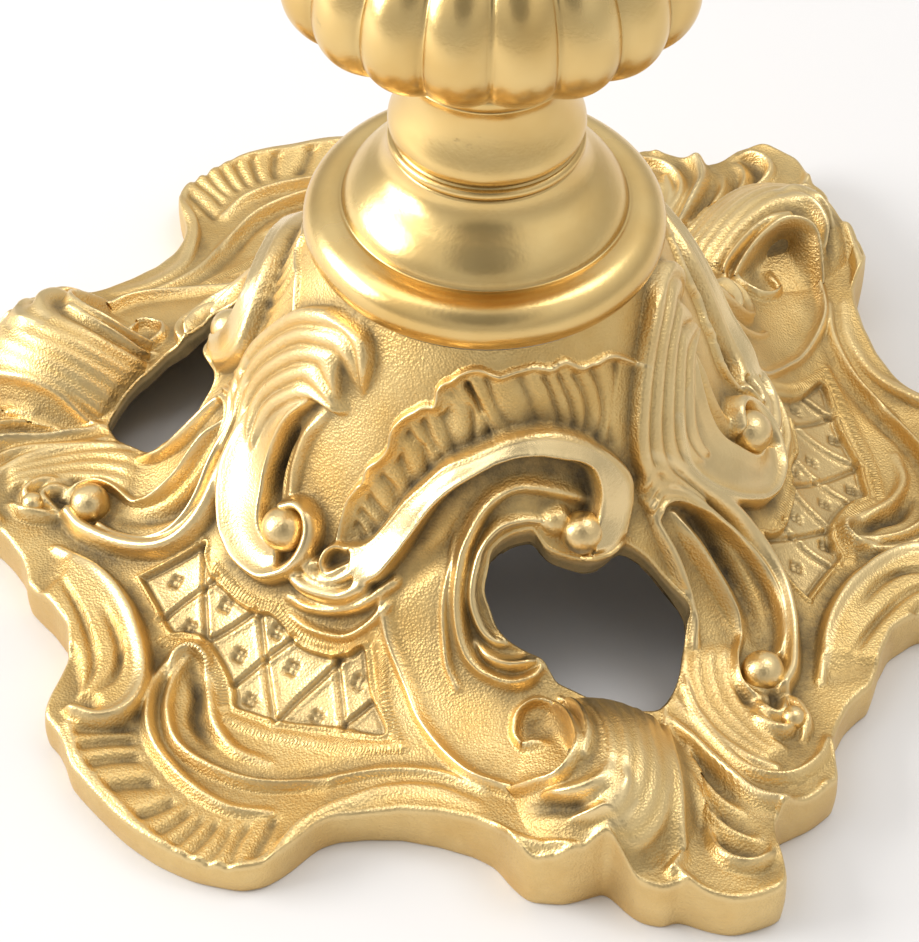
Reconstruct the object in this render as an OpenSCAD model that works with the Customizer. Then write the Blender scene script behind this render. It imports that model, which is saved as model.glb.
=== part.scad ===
// Torchere candle stand in gilt bronze: a pierced three-footed rocaille base, turned and
// gadrooned stem pieces threaded on one iron tie rod, and a lift-off drip pan and nozzle.
// Origin on the axis at floor level, +Z up, millimetres.

/* [Base casting] */
// Height of the base up to the seat for the collar
base_h = 110; // [95:1:130]
// Reach of the three foot tips from the axis
base_reach = 188; // [175:1:215]
// Radius of the flat seat on top of the base
seat_r = 50; // [46:1:58]
// Radius of the hole through the seat
seat_hole_r = 20; // [14:1:28]
// Wall of the base casting
base_wall = 5; // [4:0.5:7]
// Width of the rim that stands on the floor
rim_w = 8; // [6:1:11]
// Thickness of the cast scrolls at their middle
scroll_r = 4.5; // [3:0.5:6]

/* [Turned foot of the stem] */
// Height of the domed collar
collar_h = 36; // [30:1:48]
// Radius of the collar's torus in section
torus_r = 8.4; // [7:0.2:10]
// Radius of the bead ring
bead_r = 28.6; // [27:0.2:32]
// Height of the bead ring
bead_h = 4.6; // [3:0.2:8]
// Height of the neck
neck_h = 24; // [18:1:34]
// Radius of the neck at its waist
neck_waist_r = 23.6; // [21:0.2:25]
// Height of the lip ring under the large knop
lip_h = 4; // [3:0.5:6]

/* [Large gadrooned knop] */
// Greatest radius of the large knop
knop_r = 61; // [52:1:72]
// Height of the large knop
knop_h = 72; // [60:1:90]
// Number of gadroons round the large knop
knop_lobes = 20; // [16:2:24]
// Depth of the grooves between the gadroons
knop_groove = 3.6; // [2:0.2:5]

/* [Stem] */
// Height of the cap ring on the large knop
cap_h = 8; // [6:1:12]
// Height of the concave spool
spool_h = 42; // [32:1:60]
// Waist radius of the concave spool
spool_waist_r = 14; // [13:0.5:17]
// Radius of the three stem rings
ring_r = 23; // [21:0.5:27]
// Height of the three stem rings
ring_h = 12; // [9:1:16]
// Height of the baluster
baluster_h = 184; // [150:1:230]
// Greatest radius of the baluster
baluster_r = 34; // [28:1:42]
// Height of the fluted shaft
shaft_h = 486; // [380:2:600]
// Radius of the fluted shaft at its foot
shaft_foot_r = 19; // [17:0.5:21]
// Radius of the fluted shaft at its head
shaft_head_r = 14.5; // [13.5:0.5:16.5]
// Number of flutes on the shaft
shaft_flutes = 12; // [8:1:16]
// Depth of the shaft's flutes
flute_depth = 1.6; // [1:0.2:2]

/* [Head of the stem] */
// Greatest radius of the small knop
small_knop_r = 32; // [27:1:38]
// Height of the small knop
small_knop_h = 50; // [42:1:60]
// Number of gadroons round the small knop
small_knop_lobes = 16; // [12:2:20]
// Height of the spool under the cup
head_spool_h = 34; // [26:1:44]
// Height of the candle cup
cup_h = 88; // [74:1:100]
// Radius of the candle cup's rim
cup_rim_r = 34; // [31:1:40]
// Radius of the candle cup's belly
cup_belly_r = 29; // [26:1:34]

/* [Drip pan and nozzle] */
// Radius of the drip pan to the tips of its scallops
pan_r = 74; // [60:1:90]
// Sheet thickness of the drip pan
pan_t = 3; // [2:0.5:4]
// Rise of the drip pan's edge over its middle
pan_rise = 11; // [7:1:16]
// Number of scallops round the drip pan
pan_lobes = 12; // [8:1:18]
// Radius of the candle bore
candle_r = 11.5; // [10:0.5:13.5]
// Depth of the candle bore
candle_depth = 40; // [30:1:48]
// Wall of the nozzle's sleeve
nozzle_wall = 3; // [2.5:0.5:4]
// Length of the sleeve that drops into the candle cup
sleeve_len = 34; // [24:1:42]
// Height of the nozzle above the drip pan
nozzle_h = 68; // [56:1:80]

/* [Tie rod and fastenings] */
// Radius of the iron tie rod
rod_r = 5; // [4:0.5:6]
// Radial room round the tie rod
rod_room = 0.4; // [0.2:0.1:0.8]
// Bore of the hollow stem castings
hollow_r = 9; // [8.5:0.5:10]
// Bore of the hollow neck and large knop
wide_hollow_r = 17; // [14:0.5:19]
// Wall of the hollow castings
cast_wall = 5; // [4:0.5:6]
// Width across the flats of the two nuts
nut_af = 17; // [16:1:22]
// Height of the two nuts
nut_h = 8; // [6:1:10]
// Radius of the two washers
washer_r = 12; // [11.5:0.5:14]
// Thickness of the two washers
washer_t = 2; // [1.5:0.5:3]
// Radius of the clamp plate under the seat
plate_r = 38; // [32:1:42]
// Thickness of the clamp plate
plate_t = 5; // [4:0.5:8]
// Length of rod that stands past each nut
rod_past = 5; // [3:1:8]

/* [Fits] */
// Radial room of a locating spigot
spigot_fit = 0.2; // [0.1:0.05:0.4]
// Length of a locating spigot
spigot_len = 3; // [2:0.5:4]
// Radial room of the sliding nozzle sleeve
slide_fit = 0.3; // [0.2:0.05:0.5]

/* [Hidden] */

gilt = [0.85, 0.68, 0.33];
iron = [0.33, 0.32, 0.31];
fine = 96;

// Levels of the stack, from the floor up
z_collar = base_h;
z_bead = z_collar + collar_h;
z_neck = z_bead + bead_h;
z_lip = z_neck + neck_h;
z_knop = z_lip + lip_h;
z_cap = z_knop + knop_h;
z_spool = z_cap + cap_h;
z_ring1 = z_spool + spool_h;
z_baluster = z_ring1 + ring_h;
z_ring2 = z_baluster + baluster_h;
z_shaft = z_ring2 + ring_h;
z_ring3 = z_shaft + shaft_h;
z_small_knop = z_ring3 + ring_h;
z_head_spool = z_small_knop + small_knop_h;
z_cup = z_head_spool + head_spool_h;
z_pan = z_cup + cup_h;
z_nozzle = z_pan + pan_t;

rod_hole_r = rod_r + rod_room;
sleeve_r = candle_r + nozzle_wall;
cup_bore_r = sleeve_r + slide_fit;
collar_inner_r = seat_r - 9;
boss_r = collar_inner_r - spigot_fit;
boss_h = 3;
z_plate = base_h - base_wall - plate_t;
z_bottom_washer = z_plate - washer_t;
z_bottom_nut = z_bottom_washer - nut_h;
// The sleeve, the rod's end and the nut share the candle cup's bore
cup_floor = cup_h - sleeve_len - nut_h - washer_t - rod_past - 6;
z_top_washer = z_cup + cup_floor;
z_top_nut = z_top_washer + washer_t;

// Outline of one third of the base: [angle, share of the reach], counter-clockwise from above
EDGE = [[-157, .785], [-152.5, .772], [-148, .77], [-144.5, .793], [-142, .854], [-137.5, .883],
        [-133, .91], [-128, .919], [-122.5, .934], [-112, .917], [-109.5, .873],
        [-107, .796], [-102.5, .767], [-96.5, .758], [-90, .777], [-87.5, .798], [-85.5, .849],
        [-81, .873], [-76.5, .864], [-75, .914], [-72.5, .942], [-70, .955], [-68, .975],
        [-65.5, 1], [-62.5, 1], [-61, .955], [-59, .885], [-51, .88],
        [-48.5, .84], [-45.5, .805], [-41.5, .79]];
// Height of the base's edge over the floor: [angle, millimetres]
EDGE_H = [[-158, 15], [-146, 15], [-138, 13], [-125, 10], [-112, 10], [-104, 13], [-96, 17],
          [-88, 20], [-81, 22], [-74, 20], [-66, 18], [-60, 17], [-52, 17], [-45, 15], [-38, 15]];
// Bell-shaped fall from the seat to the edge: [share of the way out, share of the height]
FALL = [[0, 1], [.04, .9], [.07, .8], [.125, .625], [.18, .455], [.255, .325], [.325, .19], [.4, .095],
        [.47, .045], [.545, .015], [.65, 0], [1, 0]];
// Knee of each foot, a low dome under the acanthus: centre and half widths in plan, and height
knee = [38, -136];
knee_w = [27, 30];
knee_h = 18;

// Heart-shaped opening in each foot, in plan, drawn for a reach of draw_reach
draw_reach = 188;
HEART = [[2, -81], [3, -78], [7, -75], [13, -73], [20, -75], [27, -76], [34, -74], [43, -68],
         [51, -69], [58, -73], [62, -77], [61, -90], [58, -100], [54, -107], [44, -108],
         [33, -107], [23, -104], [18, -99], [9, -95], [3, -89], [1, -85]];
// Ridges of the cast scrolls, in plan: [x, y, share of scroll_r]
SCROLL_TOP = [[-46, -77, .5], [-34, -80, .9], [-16, -72, 1.1], [10, -65, 1.1],
              [30, -62, 1], [42, -63, .9], [38, -70, 1], [31, -72, 1.1]];
SCROLL_LEFT = [[-26, -83, .3], [-23, -94, .4], [-14, -114, .6], [-4, -129, .6],
               [13, -135, .8], [25, -126, .8], [21, -113, .8], [14, -119, .9]];
SCROLL_RIGHT = [[47, -55, .5], [60, -50, .7], [72, -49, .8], [85, -54, .9], [93, -67, .9],
                [95, -83, .9], [92, -95, .9], [86, -91, .9]];
SCROLL_SIDE = [[-56, -26, .4], [-70, -28, .6], [-78, -44, .8], [-73, -63, .8],
               [-62, -72, .8], [-53, -68, .8], [-58, -59, 1]];
SCROLL_LOBE = [[-135, -45, .5], [-117, -54, .7], [-103, -73, .9], [-99, -96, .9],
               [-112, -107, .6]];
// Ridges without a volute: rim of the opening, inner scroll, leaf strands, foot's corner and mouldings
STRANDS = [
    [[22, -71, .5], [4, -74, .9], [-5, -86, .9], [-2, -98, .9], [14, -104, .7]],
    [[57, -59, .5], [69, -65, .9], [77, -80, .6]],
    [[50, -119, .6], [53, -141, 1.2], [46, -156, .9], [36, -159, .5]],
    [[34, -116, .6], [38, -134, 1], [33, -146, 1], [22, -149, .5]],
    [[59, -134, .5], [60, -153, .9], [66, -165, 1], [81, -167, .7]],
    [[61, -115, .5], [76, -129, .9], [90, -136, .9], [100, -130, .6]],
    [[-85, -86, .6], [-91, -101, .9], [-85, -118, .9], [-66, -128, .7]],
    [[-115, -115, .6], [-100, -137, .9], [-80, -151, .9], [-60, -153, .7]]];

// Points on an ellipse: centre, radii, first and last angle, number of steps
function arc(cx, cz, rx, rz, a0, a1, n = 8) =
    [for (i = [0:n]) let (a = a0 + (a1 - a0) * i / n) [cx + rx * cos(a), cz + rz * sin(a)]];
function flip(list) = [for (i = [len(list) - 1:-1:0]) list[i]];

// The base's outline, height of edge and upper surface at one angle and radius
function third(a) = a - 120 * floor((a + 158) / 120);
EDGE_ROUND = concat(EDGE, [[-37, EDGE[0][1]]]);
function edge_r(a) = base_reach * lookup(third(a) < EDGE[0][0] ? third(a) + 120 : third(a), EDGE_ROUND);
function edge_h(a) = lookup(third(a), EDGE_H);
function way_out(r) = (r - seat_r) / (base_reach - seat_r);
function knee_z(x, y) =
    let (k = base_reach / draw_reach, u = (x / k - knee[0]) / knee_w[0], v = (y / k - knee[1]) / knee_w[1],
         q = u * u + v * v)
    q < 1 ? knee_h * pow(1 - q, 1.1) : 0;
function top_z(a, r) = edge_h(a) + (base_h - edge_h(a)) * lookup(way_out(r), FALL)
                     + knee_z(r * cos(third(a)), r * sin(third(a)));

// Section of the base shell at one angle, from the seat hole out, down and back inside
OUT_STEPS = [.06, .14, .25, .38, .54, .7, .88];
IN_STEPS = [.7, .5, .33, .16];
edge_round = 1.5;
function shell_section(a) = let (R = edge_r(a), e = edge_h(a), Ri = R - rim_w) concat(
    [[seat_hole_r, base_h + boss_h], [boss_r, base_h + boss_h], [boss_r, base_h], [seat_r, base_h]],
    [for (s = OUT_STEPS) let (r = seat_r + s * (R - edge_round - seat_r)) [r, top_z(a, r)]],
    [[R - edge_round, e], [R, e - edge_round], [R, 0], [Ri, 0], [Ri - 1, e - base_wall]],
    [for (s = IN_STEPS) let (r = seat_r + s * (Ri - 2 - seat_r), w = base_wall * (s < .35 ? 1.7 : 1.2))
        [r, min(base_h - base_wall, top_z(a, r) - w)]],
    [[plate_r + 4, base_h - base_wall], [seat_hole_r, base_h - base_wall]]);

// A closed ring mesh: one section for each angle, its [radius, height] points anticlockwise
module ring_mesh(sections, angles) {
    n = len(angles);
    k = len(sections[0]);
    points = [for (i = [0:n - 1]) for (p = sections[i]) [p[0] * cos(angles[i]), p[0] * sin(angles[i]), p[1]]];
    faces = [for (i = [0:n - 1]) for (j = [0:k - 1])
        let (i2 = (i + 1) % n, j2 = (j + 1) % k,
             a = i * k + j, b = i2 * k + j, c = i2 * k + j2, d = i * k + j2)
        each [[a, d, c], [a, c, b]]];
    polyhedron(points, faces, convexity = 8);
}

module base_shell() {
    angles = [for (k = [0:2]) for (e = EDGE) e[0] + 120 * k];
    ring_mesh([for (a = angles) flip(shell_section(a))], angles);
}

// A point of a ridge, set on the base's surface
function on_base(p) = let (k = base_reach / draw_reach, x = p[0] * k, y = p[1] * k)
    [x, y, top_z(atan2(y, x), norm([x, y])) + 1];

// A five-sided rope laid along a ridge
module strand(ridge) {
    n = len(ridge);
    line = [for (p = ridge) on_base(p)];
    points = [for (i = [0:n - 1])
        let (d = line[min(i + 1, n - 1)] - line[max(i - 1, 0)], side = [-d[1], d[0], 0] / norm([d[0], d[1]]))
        each [for (j = [0:4]) let (a = 72 * j + 18)
            line[i] + ridge[i][2] * scroll_r * (cos(a) * side + [0, 0, sin(a)])]];
    sides = [for (i = [0:n - 2]) for (j = [0:4]) let (j2 = (j + 1) % 5)
        each [[5 * i + j, 5 * i + 5 + j, 5 * i + 5 + j2], [5 * i + j, 5 * i + 5 + j2, 5 * i + j2]]];
    ends = [[0, 1, 2, 3, 4], [for (j = [4:-1:0]) 5 * (n - 1) + j]];
    polyhedron(points, concat(ends, sides), convexity = 6);
}

// A cast scroll: a rope that ends in a round volute
module scroll(ridge) {
    strand(ridge);
    last = ridge[len(ridge) - 1];
    r = last[2] * scroll_r * 1.5;
    hull() {
        translate(on_base(last) + [0, 0, 0.35 * r]) sphere(r, $fn = 7);
        translate(on_base(last) - [0, 0, 0.5 * r]) sphere(r * 0.9, $fn = 7);
    }
}

module base_casting() {
    k = base_reach / draw_reach;
    color(gilt) union() {
        difference() {
            base_shell();
            for (a = [0, 120, 240])
                rotate([0, 0, a]) linear_extrude(base_h) polygon(HEART * k);
        }
        for (a = [0, 120, 240]) rotate([0, 0, a]) {
            scroll(SCROLL_TOP);
            scroll(SCROLL_LEFT);
            scroll(SCROLL_RIGHT);
            scroll(SCROLL_SIDE);
            scroll(SCROLL_LOBE);
            for (ridge = STRANDS) strand(ridge);
        }
    }
}

// A ring or disc with the rod's hole, turned from an outline of its outer side
module turned(outer, inner) {
    rotate_extrude($fn = fine) polygon(concat(outer, flip(inner)));
}

// Inner side of a hollow casting: the bore at both ends, the wall's thickness between
function hollow(outer, bore, wall, h, land = 4) = concat(
    [[bore, 0], [bore, land]],
    [for (p = outer) if (p[1] > land + 1 && p[1] < h - land - 1) [max(bore, p[0] - wall), p[1]]],
    [[bore, h - land], [bore, h]]);

// A solid stem ring with a spigot down and a spigot up
module ring_body(outer, h, down_r, up_r) {
    turned(concat([[down_r - spigot_fit, -spigot_len], [down_r - spigot_fit, 0]], outer,
                  [[up_r - spigot_fit, h], [up_r - spigot_fit, h + spigot_len]]),
           [[rod_hole_r, -spigot_len], [rod_hole_r, h + spigot_len]]);
}

module clamp_plate() {
    color(iron) translate([0, 0, z_plate]) difference() {
        cylinder(r = plate_r, h = plate_t, $fn = fine);
        translate([0, 0, -1]) cylinder(r = rod_hole_r, h = plate_t + 2, $fn = 48);
    }
}

module washer(z) {
    color(iron) translate([0, 0, z]) difference() {
        cylinder(r = washer_r, h = washer_t, $fn = 64);
        translate([0, 0, -1]) cylinder(r = rod_hole_r, h = washer_t + 2, $fn = 48);
    }
}

module nut(z) {
    color(iron) translate([0, 0, z]) difference() {
        cylinder(r = nut_af / 2 / cos(30), h = nut_h, $fn = 6);
        translate([0, 0, -1]) cylinder(r = rod_r, h = nut_h + 2, $fn = 48);
    }
}

module bottom_washer() { washer(z_bottom_washer); }
module bottom_nut() { nut(z_bottom_nut); }
module top_washer() { washer(z_top_washer); }
module top_nut() { nut(z_top_nut); }

module tie_rod() {
    z0 = z_bottom_nut - rod_past;
    z1 = z_top_nut + nut_h + rod_past;
    color(iron) translate([0, 0, z0]) cylinder(r = rod_r, h = z1 - z0, $fn = 48);
}

// The collar: a torus on the seat, a sharp line, a dome and a cove up to the bead ring
module dome_collar() {
    c = seat_r - 5;
    line_r = seat_r - 8.2;
    line_h = 2 * torus_r - 1.8;
    top_r = bead_r - 1;
    shoulder = collar_h * 0.76;
    outer = concat([[seat_r - 0.4, 0]], arc(c, torus_r - 1.4, torus_r, torus_r, -48, 100, 12),
                   [[line_r + 0.5, line_h + 0.3]],
                   arc(top_r + 5, line_h, line_r - top_r - 5, shoulder - line_h, 0, 90, 10),
                   arc(top_r + 5, collar_h, 5, collar_h - shoulder, 270, 180, 6));
    color(gilt) translate([0, 0, z_collar])
        turned(outer, [[collar_inner_r, 0], [collar_inner_r, boss_h + 1], [line_r - cast_wall - 1, line_h],
                       [top_r + 5 - cast_wall, shoulder - cast_wall], [rod_hole_r, shoulder - cast_wall],
                       [rod_hole_r, collar_h]]);
}

module bead_ring() {
    outer = concat([[bead_r - 1.4, 0]], arc(bead_r - 1.6, bead_h * 0.44, 1.6, bead_h * 0.42, -80, 80, 6),
                   [[bead_r - 1.4, bead_h]]);
    color(gilt) translate([0, 0, z_bead]) turned(
        concat(outer, [[wide_hollow_r - spigot_fit, bead_h],
                       [wide_hollow_r - spigot_fit, bead_h + spigot_len]]),
        [[rod_hole_r, 0], [rod_hole_r, bead_h + spigot_len]]);
}

// The neck: a swelling over the bead ring that draws in to a waist
module neck_spool() {
    bulge = bead_r - 0.2;
    outer = concat([[bulge - 1.2, 0]], arc(bulge - 3.4, 3.6, 3.4, 3.6, -60, 50, 6),
                   [for (i = [1:8]) let (t = i / 8)
                       [neck_waist_r + (bulge - 1.2 - neck_waist_r) * pow(1 - t, 1.7),
                        6.4 + (neck_h - 8.4) * t]],
                   [[neck_waist_r + 0.7, neck_h]]);
    color(gilt) translate([0, 0, z_neck]) turned(outer, [[wide_hollow_r, 0], [wide_hollow_r, neck_h]]);
}

module lip_ring() {
    r = neck_waist_r + 1;
    color(gilt) translate([0, 0, z_lip])
        ring_body([[r - 0.5, 0], [r, 0.6], [r, lip_h - 0.6], [r - 0.5, lip_h]],
                  lip_h, wide_hollow_r, wide_hollow_r);
}

// A gadrooned knop: lobes round a turned body, with a hollow inside
module gadrooned(outer, inner, lobes, groove, per_lobe) {
    n = lobes * per_lobe;
    angles = [for (i = [0:n - 1]) 360 * i / n];
    top_r = max([for (p = outer) p[0]]);
    low_r = outer[0][0];
    function lobe(a) = 1 - sqrt(abs(sin(a * lobes / 2)));
    ring_mesh([for (a = angles) concat(
        [for (p = outer) [p[0] - groove * lobe(a) * min(1, 1.6 * (p[0] - low_r) / (top_r - low_r)), p[1]]],
        flip(inner))], angles);
}

// The bun-shaped outline of a knop: a flat underside that turns up steeply to the equator
function bun(foot_r, r, h, z_low, z_mid) = concat([[foot_r, 0], [foot_r + 2, z_low * 0.6]],
    arc(foot_r + 2, z_mid, r - foot_r - 2, z_mid - z_low, -75, 0, 4),
    arc(foot_r + 2, z_mid, r - foot_r - 2, h - z_low * 0.6 - z_mid, 20, 75, 3),
    [[foot_r + 2, h - z_low * 0.4], [foot_r, h]]);

// The hollow inside a knop
function knop_hollow(bore, r, h) = [[bore, 0], [bore, 0.22 * h], [bore + 0.9 * (r - bore), 0.36 * h],
    [r, 0.5 * h], [bore + 0.9 * (r - bore), 0.64 * h], [bore, 0.82 * h], [bore, h]];

module gadroon_knop() {
    foot_r = neck_waist_r + 0.9;
    outer = bun(foot_r, knop_r, knop_h, 13, knop_h / 2);
    inner = knop_hollow(wide_hollow_r, knop_r - cast_wall - knop_groove, knop_h);
    color(gilt) translate([0, 0, z_knop]) gadrooned(outer, inner, knop_lobes, knop_groove, 6);
}

// A stem ring's outline: a round bead between two flats
function bead_outline(r, h) = concat([[r - 4, 0], [r - 4, h * 0.16]],
    arc(r - h * 0.34, h / 2, h * 0.34, h * 0.34, -90, 90, 8), [[r - 4, h * 0.84], [r - 4, h]]);

module knop_cap() {
    r = neck_waist_r + 1;
    color(gilt) translate([0, 0, z_cap])
        ring_body(concat([[r - 1, 0]], arc(r - 2, cap_h / 2, 3, cap_h * 0.44, -80, 80, 6), [[r - 3, cap_h]]),
                  cap_h, wide_hollow_r, hollow_r);
}

// A concave spool between two widths
function spool_outline(foot_r, waist_r, head_r, h) = [
    for (i = [0:14]) let (t = i / 14, d = 2 * t - 0.9, flare = d < 0 ? foot_r - waist_r : head_r - waist_r)
        [waist_r + flare * pow(abs(d), 2.2) / (d < 0 ? 0.793 : 1.233), h * t]];

module lower_spool() {
    foot_r = neck_waist_r - 2;
    color(gilt) translate([0, 0, z_spool])
        turned(spool_outline(foot_r, spool_waist_r, ring_r - 4, spool_h),
               [[hollow_r, 0], [hollow_r, spool_h]]);
}

module stem_ring(z) {
    color(gilt) translate([0, 0, z]) ring_body(bead_outline(ring_r, ring_h), ring_h, hollow_r, hollow_r);
}

module lower_ring() { stem_ring(z_ring1); }
module middle_ring() { stem_ring(z_ring2); }
module upper_ring() { stem_ring(z_ring3); }

// The baluster: a full belly low down that runs up into a slender neck
module baluster() {
    foot_r = ring_r - 5;
    head_r = shaft_foot_r - 2;
    belly = 0.24;
    outer = [for (i = [0:24]) let (t = i / 24) [
        t < belly
            ? foot_r + (baluster_r - foot_r) * sin(90 * t / belly)
            : head_r + (baluster_r - head_r) * pow(0.5 + 0.5 * cos(180 * (t - belly) / (1 - belly)), 1.25),
        baluster_h * t]];
    color(gilt) translate([0, 0, z_baluster])
        turned(outer, hollow(outer, hollow_r, cast_wall, baluster_h, 6));
}

// The shaft: a taper with round-bottomed flutes that fade at both ends
module fluted_shaft() {
    per_flute = 8;
    n = shaft_flutes * per_flute;
    angles = [for (i = [0:n - 1]) 360 * i / n];
    steps = [0, .02, .035, .06, .2, .4, .6, .8, .94, .965, .98, 1];
    function fade(t) = t <= .02 || t >= .98 ? 0 : t <= .035 || t >= .965 ? .6 : 1;
    function taper(t) = shaft_foot_r + (shaft_head_r - shaft_foot_r) * t + (t < .02 || t > .98 ? -1 : 0);
    sections = [for (a = angles) concat(
        [for (t = steps)
            [taper(t) - flute_depth * fade(t) * pow(abs(sin(a * shaft_flutes / 2)), 0.8), t * shaft_h]],
        [[hollow_r, shaft_h], [hollow_r, 0]])];
    color(gilt) translate([0, 0, z_shaft]) ring_mesh(sections, angles);
}

module small_knop() {
    foot_r = ring_r - 5;
    outer = bun(foot_r, small_knop_r, small_knop_h, 8, small_knop_h / 2);
    inner = knop_hollow(hollow_r, small_knop_r - cast_wall - 2, small_knop_h);
    color(gilt) translate([0, 0, z_small_knop]) gadrooned(outer, inner, small_knop_lobes, 2.2, 4);
}

module head_spool() {
    outer = spool_outline(ring_r - 6, spool_waist_r - 1, spool_waist_r + 2, head_spool_h);
    color(gilt) translate([0, 0, z_head_spool])
        turned(concat([[hollow_r - spigot_fit, -spigot_len], [hollow_r - spigot_fit, 0]], outer),
               [[rod_hole_r, -spigot_len], [rod_hole_r, head_spool_h]]);
}

// The candle cup: an urn that takes the nozzle's sleeve, with the rod's nut on its floor
module candle_cup() {
    foot_r = spool_waist_r + 2;
    neck_r = cup_bore_r + cast_wall - 1;
    outer = concat([[foot_r, 0], [foot_r, 2]],
        arc(foot_r, cup_h * 0.42, cup_belly_r - foot_r, cup_h * 0.38, -90, 0, 8),
        [for (i = [1:8]) let (t = i / 8)
            [neck_r + (cup_belly_r - neck_r) * (0.5 + 0.5 * cos(180 * t)), cup_h * (0.42 + 0.36 * t)]],
        arc(cup_rim_r, cup_h * 0.78, cup_rim_r - neck_r, cup_h * 0.22 - 4, 180, 90, 6),
        [[cup_rim_r, cup_h]]);
    color(gilt) translate([0, 0, z_cup])
        turned(outer, [[rod_hole_r, 0], [rod_hole_r, cup_floor],
                       [cup_bore_r, cup_floor], [cup_bore_r, cup_h]]);
}

// The drip pan: a dished disc with a scalloped, turned-up edge
module drip_pan() {
    hole_r = cup_bore_r + 0.5;
    n = pan_lobes * 8;
    angles = [for (i = [0:n - 1]) 360 * i / n];
    land_r = cup_rim_r + 2;
    steps = [0, .3, .6, .82, .94, 1];
    function rim(a) = pan_r - 3.5 * (1 - abs(cos(a * pan_lobes / 2)));
    function rise(t) = pan_rise * pow(t, 2.4);
    color(gilt) translate([0, 0, z_pan])
        ring_mesh([for (a = angles) let (w = rim(a) - land_r) concat(
            [[hole_r, 0]], [for (t = steps) [land_r + w * t * 0.985, rise(t)]],
            [for (t = flip(steps)) [land_r + w * t, pan_t + rise(t)]], [[hole_r, pan_t]])], angles);
}

// The nozzle: a sleeve for the cup, a flange on the drip pan and a vase-shaped candle socket
module candle_nozzle() {
    flange_r = cup_bore_r + 7;
    lip_r = candle_r + 8;
    mid_r = candle_r + nozzle_wall + 1.5;
    floor_h = nozzle_h - candle_depth;
    outer = concat([[sleeve_r, -sleeve_len - pan_t], [sleeve_r, 0], [flange_r, 0], [flange_r, 3]],
        arc(flange_r - 3, 3, 3, 2, 0, 90, 4),
        arc(mid_r, 14, 3.5, 9, -90, 90, 10),
        [for (i = [1:8]) let (t = i / 8) [mid_r - 1 + (lip_r - mid_r) * pow(t, 2), 23 + (nozzle_h - 27) * t]],
        [[lip_r, nozzle_h - 4]], arc(lip_r - 1, nozzle_h - 2, 1.6, 2, -60, 90, 5));
    color(gilt) translate([0, 0, z_nozzle]) difference() {
        turned(outer, [[candle_r, -sleeve_len - pan_t], [candle_r, floor_h - 4],
                       [0, floor_h - 4], [0, nozzle_h]]);
        translate([0, 0, floor_h]) cylinder(r = candle_r, h = candle_depth + 1, $fn = fine);
    }
}

base_casting();
clamp_plate();
bottom_washer();
bottom_nut();
tie_rod();
dome_collar();
bead_ring();
neck_spool();
lip_ring();
gadroon_knop();
knop_cap();
lower_spool();
lower_ring();
baluster();
middle_ring();
fluted_shaft();
upper_ring();
small_knop();
head_spool();
candle_cup();
top_washer();
top_nut();
drip_pan();
candle_nozzle();
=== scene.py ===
"""Looks of the torchere candle stand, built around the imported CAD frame.

The base casting is one fine surface: the construction's own ground, with the ornament raised on it
along lines drawn in plan. The stem's pieces are turned and gadrooned surfaces fitted to the CAD
nodes' own boxes. Lengths are in millimetres until a mesh is made.
"""
import math

import bpy
import numpy as np
from mathutils import Matrix, Vector


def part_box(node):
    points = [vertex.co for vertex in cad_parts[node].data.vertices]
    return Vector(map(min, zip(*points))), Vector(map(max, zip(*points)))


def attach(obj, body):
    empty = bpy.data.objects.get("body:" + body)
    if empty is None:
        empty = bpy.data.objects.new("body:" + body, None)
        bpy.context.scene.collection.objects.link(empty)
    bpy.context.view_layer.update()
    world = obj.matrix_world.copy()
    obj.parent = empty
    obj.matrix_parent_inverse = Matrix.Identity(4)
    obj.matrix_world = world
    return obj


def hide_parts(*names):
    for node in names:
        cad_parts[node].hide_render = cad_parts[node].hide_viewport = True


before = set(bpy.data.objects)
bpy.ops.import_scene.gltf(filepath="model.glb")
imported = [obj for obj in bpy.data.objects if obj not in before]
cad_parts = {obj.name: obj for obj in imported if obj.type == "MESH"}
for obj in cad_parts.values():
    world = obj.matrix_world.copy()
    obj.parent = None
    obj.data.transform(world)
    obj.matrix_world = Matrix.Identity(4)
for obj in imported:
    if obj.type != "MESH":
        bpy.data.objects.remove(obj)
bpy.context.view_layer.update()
MM = 0.001
THIRDS = (0, 120, -120)


# ---------------------------------------------------------------------------------------------
# Small helpers: tables, curves and meshes
# ---------------------------------------------------------------------------------------------

def table(points):
    """A smooth monotone curve through a few points: cubic pieces whose slopes never overshoot."""
    x, y = np.array(points, float).T
    h, d = np.diff(x), np.diff(y) / np.diff(x)
    slope = np.zeros_like(x)
    same = d[:-1] * d[1:] > 0
    w1, w2 = 2 * h[1:] + h[:-1], h[1:] + 2 * h[:-1]
    slope[1:-1][same] = ((w1 + w2)[same]) / (w1[same] / d[:-1][same] + w2[same] / d[1:][same])
    slope[0], slope[-1] = d[0], d[-1]

    def curve(q):
        q = np.clip(q, x[0], x[-1])
        i = np.clip(np.searchsorted(x, q) - 1, 0, len(h) - 1)
        t = (q - x[i]) / h[i]
        return ((2 * t**3 - 3 * t**2 + 1) * y[i] + (t**3 - 2 * t**2 + t) * h[i] * slope[i]
                + (3 * t**2 - 2 * t**3) * y[i + 1] + (t**3 - t**2) * h[i] * slope[i + 1])
    return curve


def evenly(values):
    """A smooth curve through values that are evenly spaced from 0 to 1."""
    return table(list(zip(np.linspace(0, 1, len(values)), values)))


def smoothstep(low, high, q):
    """0 below low, 1 above high, 3t^2 - 2t^3 between."""
    t = np.clip((q - low) / (high - low), 0, 1)
    return t * t * (3 - 2 * t)


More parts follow.
